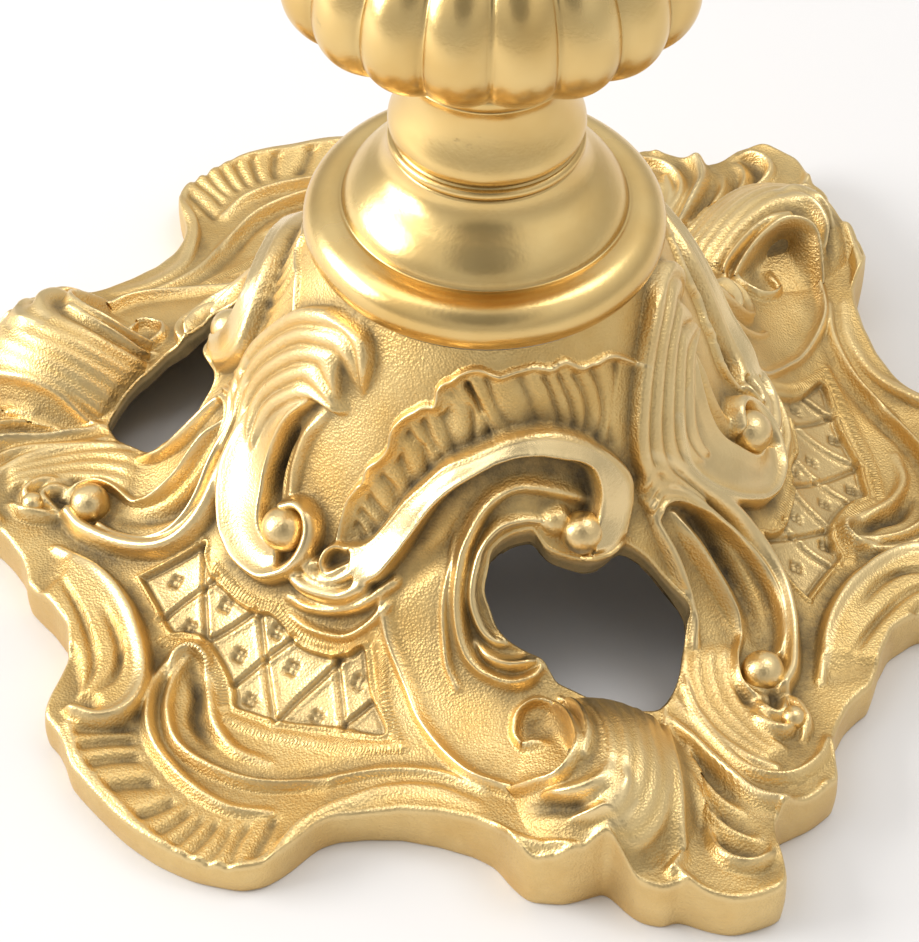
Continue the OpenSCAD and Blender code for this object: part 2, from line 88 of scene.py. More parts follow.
def spline(points, step=0.6, closed=False):
    """Points about step apart along a Catmull-Rom curve through the given ones."""
    p = np.array(points, float)
    if closed:
        p = np.vstack([p[-1], p, p[0], p[1]])
    else:
        p = np.vstack([2 * p[0] - p[1], p, 2 * p[-1] - p[-2]])
    out = []
    for a, b, c, d in zip(p[:-3], p[1:-2], p[2:-1], p[3:]):
        t = np.linspace(0, 1, max(2, int(math.dist(b, c) / step)), endpoint=False)[:, None]
        out.append(0.5 * (2 * b + (c - a) * t + (2 * a - 5 * b + 4 * c - d) * t**2
                          + (3 * b - a - 3 * c + d) * t**3))
    if not closed:
        out.append(p[-2:-1])
    return np.vstack(out)


def turn(points, degrees):
    """Plan points turned about the axis."""
    a = math.radians(degrees)
    m = np.array([[math.cos(a), math.sin(a)], [-math.sin(a), math.cos(a)]])
    return np.array(points, float) @ m


def inside(outline, x, y):
    """True where (x, y) lies within a closed outline, by counting crossings."""
    hit = np.zeros(x.shape, bool)
    for (xa, ya), (xb, yb) in zip(outline, np.roll(outline, -1, axis=0)):
        if ya == yb:
            continue
        cross = ((ya > y) != (yb > y)) & (x < (xb - xa) * (y - ya) / (yb - ya) + xa)
        hit ^= cross
    return hit


def new_object(name, verts, faces, node, body, material, normals=None, colours=None):
    """A mesh object in metres from millimetre vertices; it rides on a body and replaces CAD nodes."""
    mesh = bpy.data.meshes.new(name)
    faces = np.asarray(faces)
    corners = faces.shape[1]
    mesh.vertices.add(len(verts))
    mesh.vertices.foreach_set("co", (np.asarray(verts) * MM).astype(np.float32).ravel())
    mesh.loops.add(faces.size)
    mesh.loops.foreach_set("vertex_index", faces.astype(np.int32).ravel())
    mesh.polygons.add(len(faces))
    mesh.polygons.foreach_set("loop_start", np.arange(0, faces.size, corners, dtype=np.int32))
    mesh.update(calc_edges=True)
    mesh.validate()
    mesh.polygons.foreach_set("use_smooth", np.ones(len(mesh.polygons), bool))
    if colours is not None:
        layer = mesh.color_attributes.new("relief", "FLOAT_COLOR", "POINT")
        layer.data.foreach_set("color", colours.astype(np.float32).ravel())
    if normals is not None:
        mesh.normals_split_custom_set_from_vertices(normals)
    mesh.materials.append(material)
    obj = bpy.data.objects.new(name, mesh)
    bpy.context.scene.collection.objects.link(obj)
    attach(obj, body)
    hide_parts(node)


def ring_faces(rows, cols):
    """Quads of a grid of rows x cols vertices, closed round the columns."""
    i, j = np.meshgrid(np.arange(rows - 1), np.arange(cols), indexing="ij")
    j2 = (j + 1) % cols
    return np.stack([i * cols + j, i * cols + j2, (i + 1) * cols + j2, (i + 1) * cols + j],
                    -1).reshape(-1, 4)


def span(node):
    """(bottom, top) of a CAD node in millimetres."""
    low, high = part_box(node)
    return low[2] / MM, high[2] / MM


def arc(cx, cz, rx, rz, a0, a1, n):
    """n points on an ellipse in section, from angle a0 to a1 in degrees."""
    a = np.radians(np.linspace(a0, a1, n))
    return [(cx + rx * math.cos(t), cz + rz * math.sin(t)) for t in a]


# ---------------------------------------------------------------------------------------------
# Materials
# ---------------------------------------------------------------------------------------------

def linear(code):
    """An sRGB hex colour as linear numbers."""
    parts = [int(code[i:i + 2], 16) / 255 for i in (0, 2, 4)]
    return [c / 12.92 if c <= 0.04045 else ((c + 0.055) / 1.055) ** 2.4 for c in parts] + [1.0]


class Shade:
    """A node material while its nodes are laid out; a value is a number, a colour or a socket."""

    def __init__(self, name):
        self.material = bpy.data.materials.new(name)
        self.material.use_nodes = True
        self.tree = self.material.node_tree
        self.shader = next(n for n in self.tree.nodes if n.type == "BSDF_PRINCIPLED")

    def put(self, socket, value):
        """Gives a socket a value or a link."""
        if isinstance(value, bpy.types.NodeSocket):
            self.tree.links.new(value, socket)
        else:
            socket.default_value = value

    def add(self, kind, **values):
        """A node with some of its inputs and settings."""
        node = self.tree.nodes.new(kind)
        for key, value in values.items():
            if key in node.inputs:
                self.put(node.inputs[key], value)
            else:
                setattr(node, key, value)
        return node

    def texture(self, kind, output, **values):
        """An output of a texture in object coordinates."""
        place = self.add("ShaderNodeTexCoord").outputs["Object"]
        return self.add(kind, Vector=place, **values).outputs[output]

    def noise(self, scale, detail, roughness):
        """Noise from 0 to 1."""
        return self.texture("ShaderNodeTexNoise", "Fac", Scale=scale, Detail=detail, Roughness=roughness)

    def mix(self, factor, a, b):
        """Colour a, or b where the factor is 1."""
        node = self.add("ShaderNodeMix", data_type="RGBA")
        for index, value in ((0, factor), (6, a), (7, b)):
            self.put(node.inputs[index], value)
        return node.outputs[2]

    def maths(self, operation, *values, clamp=False):
        """A math node's result."""
        node = self.add("ShaderNodeMath", operation=operation, use_clamp=clamp)
        for socket, value in zip(node.inputs, values):
            self.put(socket, value)
        return node.outputs[0]

    def ramp(self, source, stops):
        """A colour ramp's colour; stops are (place, colour)."""
        node = self.add("ShaderNodeValToRGB", Fac=source)
        while len(node.color_ramp.elements) < len(stops):
            node.color_ramp.elements.new(0.5)
        for element, (place, colour) in zip(node.color_ramp.elements, stops):
            element.position = place
            element.color = colour
        return node.outputs[0]

    def finish(self, colour, metal, roughness, height=None, strength=0.0, distance=0.0):
        """Links the shader's inputs, with a bump where a height is given, and returns the material."""
        inputs = {"Base Color": colour, "Metallic": metal, "Roughness": roughness}
        if height is not None:
            bump = self.add("ShaderNodeBump", Strength=strength, Distance=distance, Height=height)
            inputs["Normal"] = bump.outputs[0]
        for name, value in inputs.items():
            self.put(self.shader.inputs[name], value)
        return self.material


BLACK, WHITE = (0, 0, 0, 1), (1, 1, 1, 1)
GOLD = linear("E9CB8C")
GOLD_WARM = linear("DDB873")
GOLD_PALE = linear("F3DFB2")
PATINA = linear("83704C")
PATINA_DARK = linear("4A4030")


def cast_gilding():
    """Gilt bronze of the base: burnished crests, matted ground, brown patina in the recesses."""
    m = Shade("gilt_bronze_cast")
    layer = m.add("ShaderNodeVertexColor", layer_name="relief").outputs["Color"]
    polish, recess, mill = m.add("ShaderNodeSeparateColor", Color=layer).outputs[:3]
    pits = m.noise(260.0, 4.0, 0.7)
    stipple = m.texture("ShaderNodeTexVoronoi", "Distance", Scale=1300.0, feature="F1")

    tone = m.mix(m.ramp(m.noise(38.0, 5.0, 0.6), [(0.35, BLACK), (0.65, WHITE)]), GOLD_WARM, GOLD)
    tone = m.mix(m.maths("MULTIPLY", polish, 0.55), tone, GOLD_PALE)
    # patina gathers in the recesses, broken up by the pits of the casting
    gathered = m.maths("MULTIPLY", recess, 1.7)
    worn = m.maths("MULTIPLY", gathered, m.maths("MULTIPLY_ADD", pits, 1.3, -0.35), clamp=True)
    tone = m.mix(m.maths("MULTIPLY", gathered, 0.5, clamp=True), tone, PATINA)
    tone = m.mix(worn, tone, PATINA_DARK)
    metal = m.maths("SUBTRACT", 1.0, m.maths("MULTIPLY", worn, 0.7), clamp=True)
    rough = m.maths("ADD", m.maths("MULTIPLY_ADD", polish, -0.20, 0.46),
                    m.maths("MULTIPLY", gathered, 0.15))

    # matting: punched dots where the ground isn't burnished, a fine cast grain everywhere
    matt = m.maths("SUBTRACT", 1.0, polish)
    dots = m.maths("MULTIPLY", stipple, matt)
    grain = m.maths("MULTIPLY", m.noise(900.0, 3.0, 0.6), 0.35)
    lumps = m.maths("MULTIPLY", pits, m.maths("MULTIPLY", matt, 0.5))
    height = m.maths("ADD", m.maths("ADD", dots, grain), m.maths("ADD", lumps, mill))
    return m.finish(tone, metal, rough, height, 0.5, 0.0004)


def turned_gilding():
    """Gilt bronze of a turned piece: a soft satin, a fine grain, a few dark pits, and painted shade in the
    patina colour, partly patina, where ambient occlusion finds recesses and joints between parts.
    """
    m = Shade("gilt_bronze_turned")
    broad = m.noise(24.0, 4.0, 0.55)
    spot = m.ramp(m.noise(95.0, 6.0, 0.75), [(0.66, BLACK), (0.74, WHITE)])
    # painted shade, partly patina: ambient occlusion lays the patina colour into the recesses and where the
    # turned parts meet
    lit = m.add("ShaderNodeAmbientOcclusion", samples=8, Distance=0.006).outputs["AO"]
    dark = m.maths("MULTIPLY", m.maths("SUBTRACT", 1.0, lit), 0.9, clamp=True)
    tone = m.mix(m.ramp(broad, [(0.35, BLACK), (0.65, WHITE)]), GOLD_WARM, GOLD)
    tone = m.mix(dark, tone, PATINA)
    tone = m.mix(m.maths("MULTIPLY", spot, 0.35), tone, PATINA_DARK)
    rough = m.maths("MULTIPLY_ADD", broad, 0.12, 0.20)
    return m.finish(tone, 1.0, rough, m.maths("ADD", m.noise(700.0, 3.0, 0.6), spot), 0.25, 0.0002)


def blackened_iron():
    """Iron of the tie rod and its fastenings, dark with a little brown rust."""
    m = Shade("blackened_iron")
    noise = m.noise(120.0, 6.0, 0.7)
    tone = m.ramp(noise, [(0.4, linear("2B2A28")), (0.62, linear("4A3B2C"))])
    return m.finish(tone, 0.7, 0.55, noise, 0.4, 0.0003)


CAST = cast_gilding()
TURNED = turned_gilding()
IRON = blackened_iron()


# ---------------------------------------------------------------------------------------------
# The base casting's ground, as in the construction
# ---------------------------------------------------------------------------------------------
SEAT = 50.0
REACH = 188.0
BASE_H = 110.0
FIRST = -158.0
KNEE, KNEE_W, KNEE_H = (38.0, -136.0), (27.0, 30.0), 18.0

# Outline of one third in plan: (angle, radius), the other two thirds turned by 120 and 240 degrees
OUTLINE = [(-158, 149), (-153, 145), (-149, 144), (-145, 148.5), (-143, 155), (-141.5, 161.5), (-140, 166),
           (-137.5, 166), (-135.5, 168), (-133.5, 171), (-129, 173), (-125, 175), (-121, 176),
           (-117, 175.5), (-112.5, 172.5), (-110.5, 168.5), (-109, 161.5), (-107.5, 151.5), (-105.5, 147),
           (-102.5, 144), (-98.5, 142), (-94, 143), (-90, 146), (-87.5, 150), (-86, 157), (-84.5, 162),
           (-81, 164), (-78.5, 163), (-76.5, 162), (-75.5, 169), (-74.5, 174), (-72.5, 177.5), (-71, 176.5),
           (-70, 179.5), (-68.5, 183.5), (-67, 186.5), (-64.5, 187.5), (-62.5, 187.5), (-61.5, 185),
           (-61, 178), (-60, 169.5), (-58.5, 165), (-56, 165.5), (-54, 166), (-50.5, 165), (-49, 159),
           (-47.5, 154), (-45, 150.5), (-42, 148), (-39, 148)]
EDGE_HEIGHT = [(-158, 15), (-146, 15), (-138, 13), (-125, 10), (-112, 10), (-104, 13), (-96, 17), (-88, 20),
               (-81, 22), (-74, 20), (-66, 18), (-60, 17), (-52, 17), (-45, 15), (-38, 15)]
FALL = table([(0, 1), (.04, .9), (.07, .8), (.125, .625), (.18, .455), (.255, .325), (.325, .19),
              (.4, .095), (.47, .045), (.545, .015), (.65, 0), (1, 0)])

ANGLE_STEP = 0.05


def _round_table(points, soften):
    """One third's table by angle, joined end to end and softened by a bell curve of that many degrees."""
    a, v = np.array(points, float).T
    a, v = np.append(a, a[0] + 120), np.append(v, v[0])
    flat = np.interp(FIRST + np.arange(0, 120, ANGLE_STEP), a, v)
    steps = np.arange(-int(4 * soften / ANGLE_STEP), int(4 * soften / ANGLE_STEP) + 1)
    bell = np.exp(-0.5 * (steps * ANGLE_STEP / soften) ** 2)
    bell /= bell.sum()
    wrapped = np.concatenate([flat[-len(steps):], flat, flat[:len(steps)]])
    return np.convolve(wrapped, bell, "same")[len(steps):-len(steps)]


_outline = _round_table(OUTLINE, 0.55)
_edge_height = _round_table(EDGE_HEIGHT, 2.0)


def _by_angle(values, degrees):
    """A third's table looked up at any angle."""
    q = ((degrees - FIRST) % 120) / ANGLE_STEP
    i = q.astype(int) % len(values)
    return values[i] + (values[(i + 1) % len(values)] - values[i]) * (q - q.astype(int))


def knee(x, y):
    """Height of the knee of the nearest foot, h (1 - q)^1.1 with q = (u / a)^2 + (v / b)^2."""
    r, home = np.hypot(x, y), np.radians((np.degrees(np.arctan2(y, x)) - FIRST) % 120 + FIRST)
    q = ((r * np.cos(home) - KNEE[0]) / KNEE_W[0]) ** 2 + ((r * np.sin(home) - KNEE[1]) / KNEE_W[1]) ** 2
    return KNEE_H * np.clip(1 - q, 0, None) ** 1.1


def ground(x, y):
    """Height of the plain casting: edge height, plus a bell-shaped fall, plus each foot's knee."""
    r, a = np.hypot(x, y), np.degrees(np.arctan2(y, x))
    out = np.clip((r - SEAT) / (REACH - SEAT), 0, 1)
    edge = _by_angle(_edge_height, a)
    return edge + (BASE_H - edge) * FALL(out) + knee(x, y)


def ground_points(plan):
    """Plan points lifted to the ground."""
    return np.column_stack([plan, ground(plan[:, 0], plan[:, 1])])


def slopes(x, y):
    """The ground's slope along x and along y."""
    e = 0.05
    along_x = (ground(x + e, y) - ground(x - e, y)) / (2 * e)
    along_y = (ground(x, y + e) - ground(x, y - e)) / (2 * e)
    return along_x, along_y


def raised(x, y, h):
    """Ground points lifted by h along the ground's normal."""
    slope_x, slope_y = slopes(x, y)
    size = np.sqrt(slope_x * slope_x + slope_y * slope_y + 1)
    return np.stack([x - h * slope_x / size, y - h * slope_y / size, ground(x, y) + h / size], -1)


# ---------------------------------------------------------------------------------------------
# Ornament: every form is raised or cut on the grid of the ground
# ---------------------------------------------------------------------------------------------
FORMS = {
    "round": lambda t: np.sqrt(np.clip(1 - t * t, 0, 1)),
    "bevel": lambda t: 1 - t,
    "soft": lambda t: 0.5 + 0.5 * np.cos(np.pi * t),
    "hollow": lambda t: (1 - t) ** 2.2,
    "cliff": lambda t: 1 - smoothstep(0.35, 1.0, t),
    "flat": lambda t: 1 - smoothstep(0.75, 1.0, t),
}


MILLING = 1.1


class Line:
    """A smooth line in plan, laid on the ground."""

    def __init__(self, points):
        self.plan = spline(points)
        self.place = ground_points(self.plan)
        tangent = np.gradient(self.place, axis=0)
        self.tangent = tangent / np.linalg.norm(tangent, axis=1)[:, None]
        steps = np.linalg.norm(np.diff(self.place, axis=0), axis=1)
        self.along = np.concatenate([[0], np.cumsum(steps)])
        self.length = self.along[-1]

    def near(self, where):
        """For points on the ground: distance, millimetres along, and +1 left or -1 right of the line."""
        n = len(where)
        distance, along, side = np.empty(n), np.empty(n), np.empty(n)
        for start in range(0, n, 4000):
            part = where[start:start + 4000]
            gap = ((part[:, None, :] - self.place[None]) ** 2).sum(-1)
            k = gap.argmin(1)
            rel, t = part - self.place[k], self.tangent[k]
            ahead = np.clip((rel * t).sum(1), -0.45, 0.45)
            distance[start:start + 4000] = np.linalg.norm(rel - ahead[:, None] * t, axis=1)
            along[start:start + 4000] = self.along[k] + ahead
            side[start:start + 4000] = np.where(t[:, 0] * rel[:, 1] - t[:, 1] * rel[:, 0] >= 0, 1, -1)
        return distance, along, side


class Relief:
    """Height, polish and milling of the ornament over the grid's ground points."""

    def __init__(self, x, y):
        self.where = np.column_stack([x.ravel(), y.ravel(), ground(x.ravel(), y.ravel())])
        self.height, self.fine, self.sunk, self.polish, self.mill = np.zeros((5, x.size))

    def about(self, plan, margin):
        """Index of the grid points within a margin of some plan points' box."""
        low, high = plan.min(0) - margin, plan.max(0) + margin
        here = self.where[:, :2]
        return np.nonzero(((here > low) & (here < high)).all(1))[0]

    def beside(self, points, reach):
        """Each turned copy of a line: index of the points near it, distance, way along, side, length."""
        for degrees in THIRDS:
            line = Line(turn(points, degrees))
            at = self.about(line.plan, reach)
            if len(at):
                yield (at, *line.near(self.where[at]), line.length)

    def around(self, x, y, reach):
        """Each turned copy of a point: index of the grid points near it and their distance."""
        for degrees in THIRDS:
            plan = turn([(x, y)], degrees)
            at = self.about(plan, reach)
            if len(at):
                yield at, np.linalg.norm(self.where[at] - ground_points(plan)[0], axis=1)

    def within(self, outline, margin=0):
        """Each turned copy of a closed outline: index, distance (below 0 outside), share of the way round."""
        for degrees in THIRDS:
            plan = turn(outline, degrees)
            line = Line(np.vstack([plan, plan[:1]]))
            at = self.about(line.plan, margin)
            if len(at):
                d, along, _ = line.near(self.where[at])
                hit = inside(line.plan, self.where[at, 0], self.where[at, 1])
                yield at, np.where(hit, d, -d), along / line.length

    def between(self, first, second):
        """Grid points between two lines: index, place across (0 at the first), place along."""
        for degrees in THIRDS:
            one, two = Line(turn(first, degrees)), Line(turn(second, degrees))
            outline = np.vstack([one.plan, two.plan[::-1]])
            at = self.about(outline, 0)
            at = at[inside(outline, self.where[at, 0], self.where[at, 1])]
            if len(at):
                d1, a1, _ = one.near(self.where[at])
                d2, a2, _ = two.near(self.where[at])
                v = d1 / (d1 + d2 + 1e-6)
                yield at, v, (1 - v) * a1 / one.length + v * a2 / two.length

    def sides(self, points, left, right, wide, usual):
        """Each side of each copy of a line: index, form (1 on the line, 0 at its width), way and share along.

        left and right are (width, form), or a bare width of the usual form; wide scales them along.
        """
        left, right = (side if isinstance(side, tuple) else (side, usual) for side in (left, right))
        for at, d, along, side, length in self.beside(points, max(left[0], right[0]) * max(wide)):
            u = along / length
            broad = evenly(wide)(u)
            for sign, (width, form) in ((1, left), (-1, right)):
                t = d / (width * broad)
                here = (t < 1) & (side == sign)
                yield at[here], FORMS[form](t[here]), along[here], u[here]

    def merge(self, at, height, k=0.5):
        """Soft maximum with what is there: max(a, b) + (k - |a - b|)^2 / 4k near the crease."""
        old = self.height[at]
        gap = np.clip(k - np.abs(old - height), 0, None)
        self.height[at] = np.maximum(old, height) + gap * gap / (4 * k)

    def shine(self, at, polish):
        """Polish is never taken off what is there."""
        self.polish[at] = np.maximum(self.polish[at], polish)

    def ridge(self, points, height, left, right, wide=(1, 1), polish=0.0, mill=0.0):
        """A ridge along a line, round unless a side says another form; height varies along it."""
        k = 0.5
        for at, form, along, u in self.sides(points, left, right, wide, "round"):
            top = evenly(height)(u)
            self.merge(at, (top + k) * form - k, k)
            if polish:
                self.shine(at, polish * np.clip(1.4 * form - 0.4, 0, 1) * smoothstep(0, 1.0, top))
            if mill:
                self.mill[at] = mill * form * np.sin(along * 2 * np.pi / MILLING)

    def cut(self, points, depth, left, right, wide=(1, 1)):
        """A hollow along a line, soft unless a side says another form, taken off what is there."""
        for at, form, _, u in self.sides(points, left, right, wide, "soft"):
            self.height[at] -= evenly(depth)(u) * form

    def ball(self, x, y, radius, height, polish=1.0):
        """A round volute's eye: height * (1 - t^2.6)^0.7, with t the share of the radius."""
        for at, d in self.around(x, y, radius):
            t = d / radius
            at, t = at[t < 1], t[t < 1]
            self.merge(at, (height + 0.5) * (1 - t ** 2.6) ** 0.7 - 0.5)
            self.shine(at, polish * (1 - t ** 4))

    def bevel(self, first, second, low, high, bow=0.0, polish=0.5):
        """An inclined ribbon between two lines: a + (b - a) v, and a bow of sin(pi v) across."""
        for at, v, u in self.between(first, second):
            one, two = evenly(low)(u), evenly(high)(u)
            self.merge(at, one + (two - one) * v + bow * np.sin(np.pi * v), 0.3)
            self.shine(at, polish * smoothstep(0, 0.3, v))

    def strands(self, first, second, count, height, base=0.0, sharp=0.6, polish=0.4):
        """Rounded strands along between two lines: base + (height - base) * |sin(pi count v)|^sharp."""
        for at, v, u in self.between(first, second):
            wave = np.abs(np.sin(np.pi * v * count)) ** sharp
            fade = smoothstep(0, 0.12, u) * smoothstep(0, 0.1, 1 - u)
            self.merge(at, (base + (height - base) * wave + 0.5) * fade ** 0.5 - 0.5)
            self.shine(at, polish * wave * fade)

    def even_edge(self, outline, width):
        """Near an opening the height runs into one that changes slowly along its outline."""
        slots = 90
        for at, d, share in self.within(outline, width):
            d = np.abs(d)
            slot = (share * slots).astype(int) % slots
            close = d < 1.2
            total = np.bincount(slot[close], self.height[at[close]], minlength=slots)
            count = np.bincount(slot[close], minlength=slots)
            if not count.any():
                continue
            known = np.nonzero(count)[0]
            mean = np.interp(np.arange(slots), known, total[known] / count[known], period=slots)
            for _ in range(3):
                mean = (np.roll(mean, 1) + 2 * mean + np.roll(mean, -1)) / 4
            even = np.interp(share * slots - 0.5, np.arange(slots), mean, period=slots)
            self.height[at] += (1 - smoothstep(0.3, width, d)) * (even - self.height[at])

    def level(self, outline, share):
        """Inside a closed outline the foot's knee is taken back by a share, softly at its border."""
        for at, d, _ in self.within(outline):
            back = share * knee(self.where[at, 0], self.where[at, 1]) * smoothstep(0, 6, d)
            self.sunk[at] = np.maximum(self.sunk[at], back)

    def dish(self, outline, depth, soft=3.0):
        """A shallow sunk panel inside a closed outline."""
        for at, d, _ in self.within(outline):
            self.height[at] -= depth * smoothstep(0, soft, d)


# Heart-shaped opening of each foot
HEART = [(2, -81), (3, -77.5), (7, -75), (12, -73.5), (16, -73), (20, -75.5), (25, -76), (31, -75.5),
         (36, -73), (40, -69.5), (43, -68.5), (48, -69), (53, -70.5), (58.5, -73), (61.5, -76), (62, -80),
         (62, -85), (61, -90), (60, -95.5), (58, -101), (54, -106.5), (49, -108), (44, -108), (38, -107.5),
         (33, -107), (28, -105.5), (23, -104), (20.5, -101.5), (18, -99), (13.5, -97.5), (9, -95.5),
         (5, -92.5), (3, -89.5), (1, -85.5)]


# Upper line of the crest over the opening, which the ruffle above it runs down to
CREST = [(-37.5, -70.5), (-31.5, -71), (-24.5, -68.5), (-20, -67), (-15, -66), (-9, -64.5), (-1, -63.5)]


def hearts_scrolls(r):
    """The scrolls round the opening: the crest over it, the rim beside it and the right-hand scroll."""
    # crest over the opening: a broad inclined ribbon with a sharp edge that winds round a ball
    top = CREST + [(9.5, -61), (20, -58.5), (29.5, -57), (37, -56.5), (41, -57), (42, -59.5), (41.5, -64),
                   (40, -69.5), (36.5, -74), (31.5, -76.5)]
    edge = [(-35.5, -78.5), (-32, -78.5), (-27.5, -78), (-22.5, -75), (-18, -71.5), (-13.5, -69),
            (-9, -67.5), (-2, -65.8), (2.5, -64.7), (9, -63.2), (15.5, -62), (22, -61), (26, -60.2),
            (29.5, -60), (31.5, -61), (32.5, -63), (32.3, -65.5), (31.5, -68.5), (30.5, -71)]
    r.cut([(-24, -82), (-16, -78.5), (-8, -76), (-2, -72.5), (6, -68.5), (14, -66.5), (22, -64.8),
          (28, -63.5)], (0.5, 1.5, 2, 2, 1.6, 0.6), 5, 6)
    r.bevel(top, edge, (3.5, 4.4, 4.6, 4.6, 4.8, 5, 5.5, 6), (4.5, 7, 7.6, 7.6, 7.6, 7.8, 8, 7.6), 0.3, 1.0)
    r.ridge(top, (3, 4.8, 5, 5, 5, 5, 5.4, 6), 1.5, 1.2, polish=0.6)
    r.ridge(edge[:-1], (4, 7, 7.8, 7.8, 7.8, 8, 8, 7), (0.9, "flat"), (1.8, "cliff"), polish=1.0)
    r.ball(22, -70.5, 5, 4.2, 0.4)
    # the crest's lower end: a folded bulge, a small hooked eye, two rolls under it
    r.ridge([(-53, -68.5), (-53, -71), (-50.5, -73.5), (-46.5, -76), (-42, -78), (-38.5, -79), (-34, -79)],
            (3, 5.4, 6, 6, 6, 5.5), 2.6, 3.8, (0.7, 1, 1, 0.9), polish=0.9)
    r.ridge([(-47, -71), (-50, -70.5), (-47.5, -73), (-43, -75.5), (-38, -76), (-33, -74.5)],
            (4, 4.6, 4.8, 4.6, 4.4), 2, 2, polish=0.7)
    r.ridge([(-38.5, -70.5), (-41, -69.3), (-43.5, -69.7), (-44.8, -71.5), (-44, -73.3), (-41.5, -74.2),
            (-37, -74)], (3, 5, 5, 5, 4), 1.3, 1.3, polish=0.8)
    r.ridge([(-55, -75), (-49, -78.5), (-42, -81), (-35, -82), (-29.5, -81.5), (-25, -80.5)],
            (1.5, 3.6, 4, 3.8, 3.4, 2), 1.8, 2.4, polish=0.6)
    r.ridge([(-55, -79), (-48.5, -83.5), (-39.5, -87), (-32.5, -86.5), (-26.5, -84.5)], (1.5, 2.8, 3, 3, 2),
            1.4, 1.8, polish=0.5)

    # rim of the opening: a round ridge, a groove, a second ridge beside the hole and a leaf end
    r.ridge([(30, -64.5), (24, -65.6), (17, -66.6), (10, -67.6), (4, -69.3), (-1, -72), (-4.5, -76.5),
            (-6, -82), (-6.5, -87), (-5.5, -92.5), (-3, -98), (1, -102), (6, -104.5)],
            (1.5, 3.4, 4.2, 4.6, 5.2, 5.4, 5.2, 4.2), 3.2, (4, "hollow"), (1, 1, 1, 1, 1, 1, 0.8),
            polish=0.6)
    r.ridge([(-6.5, -77), (-9, -83), (-10, -88), (-9.5, -94), (-8.5, -99.5), (-6, -104.5)],
            (0.8, 1.8, 2, 2, 1.4), 1.5, 1.3, polish=0.6)
    r.ridge([(19, -71.5), (11, -72.5), (5, -74), (1, -77.5), (-1, -82.5), (-1.5, -86.5), (-0.5, -89.5),
            (2, -93), (5.5, -95.3), (8.5, -95)], (1.5, 2.6, 3.6, 4.4, 4.6, 4.6, 4.2, 3), 1.9, 1.8,
            (0.8, 1, 1, 1, 0.9), polish=0.8)
    r.ridge([(0, -95.5), (4, -98.5), (8.5, -100), (13, -100), (18, -98.5)], (1.5, 4, 5, 5, 3), 2.2, 2.2,
            (0.6, 1, 1, 0.7), polish=0.8)
    r.ridge([(0, -100), (4, -103), (10, -104.8), (15, -103.8), (19, -100)], (1, 3.2, 4.2, 4, 2), 2, 2.2,
            (0.7, 1, 1, 0.7), polish=0.5)

    # outer line: a thin crisp ridge that ends in a bowl-shaped spiral
    r.level([(4, -133), (12, -137.5), (19, -139.5), (26, -138), (28, -131), (26.5, -120.5), (22.5, -112.5),
            (17, -110.5), (10, -113), (4, -121)], 0.8)
    r.cut([(13, -116), (17, -118), (21, -117)], (0.5, 1.2, 1.2, 0.5), 5.5, 5.5)
    r.ridge([(-28.5, -82.5), (-26, -90.5), (-22.5, -97.5), (-19.5, -104), (-16.5, -111.5), (-12, -119),
            (-6.5, -126.5), (-1, -132), (5, -135.5), (12, -138.5), (18.5, -141), (23.5, -142), (27, -139.5),
            (29, -134), (28.5, -128), (26.5, -119.5), (23, -112), (18.5, -109.5), (14.5, -110.5),
            (11.5, -114), (11, -119.5), (13.5, -123.5), (17, -123)],
            (2.2, 3, 3.4, 3.8, 4.4, 5, 5.4, 5.6, 5.6, 5.2, 4.6), (5.5, "hollow"), (2.2, "bevel"),
            (1, 1, 1, 0.9, 0.75, 0.55, 0.5), polish=1.0)
    r.ridge([(24.5, -108.5), (28, -112), (30.5, -121), (31.5, -130), (30.5, -137)], (2, 3.4, 4, 4, 3), 1.4,
            1.3, (0.8, 1, 1, 0.8), polish=0.7)

    # right-hand scroll: outer rim to the ball, a deep channel, two inner rims beside the opening
    r.cut([(62, -54.5), (68.5, -55.5), (74, -58.5), (79, -63.5), (82, -70), (83.5, -77.5)],
          (1.5, 5, 5.5, 4, 2.5, 1), 4.2, 4.2)
    r.ridge([(47, -50.5), (53, -47.5), (59, -46), (66, -46.2), (71.5, -46.5), (78, -47.5), (84.5, -51),
            (90, -57.5), (93, -66.5), (94, -77), (93.5, -87.5), (90.5, -95)],
            (3, 4.4, 5, 5.6, 6, 6, 6, 6, 6), 2.6, 3.4, (0.8, 1, 1.1, 1.1, 1), polish=0.9)
    r.ridge([(54, -52), (59.5, -50.5), (64.5, -51.3), (69.5, -51.8), (75, -52), (81, -54), (85.5, -57.5),
            (89, -63), (90.8, -69.5), (91, -77), (90, -83)], (2.5, 4.4, 5, 5.2, 5.2, 5, 4.4), 1.5, 2,
            polish=0.9)
    r.ridge([(57.5, -57), (60.5, -59.5), (64, -61.5), (68.5, -64.2), (72.5, -67.7), (76.5, -72.5),
            (78.3, -78)], (1.5, 4.6, 5.2, 5, 4.4, 2.4), 1.4, (3.6, "bevel"), (0.8, 1, 1, 0.8), polish=0.9)
    r.ridge([(49, -58), (52, -62.5), (56, -66.5), (59, -70.5), (61.5, -75.5), (63.5, -80), (64.3, -85)],
            (1.5, 3.2, 4, 4.6, 4.8, 4.2, 2), 2, 2.2, (0.7, 0.9, 1, 0.9), polish=0.8)
    r.strands([(45, -58), (47.5, -52), (53, -49), (60, -48.5), (67, -49.5)],
              [(52, -62), (53.5, -57.5), (57.5, -54.5), (62.5, -53.5), (67.5, -53)],
              4, 4.6, 2.2, polish=0.6)
    r.ridge([(78, -80), (76, -87.5), (76.5, -94), (80, -98.5), (85, -100)], (2.5, 4.4, 5, 4.6, 3), 1.3, 1.5,
            polish=0.7)
    r.ball(84.5, -91.5, 7, 6)
    r.ball(92.5, -107, 4, 5, 0.7)


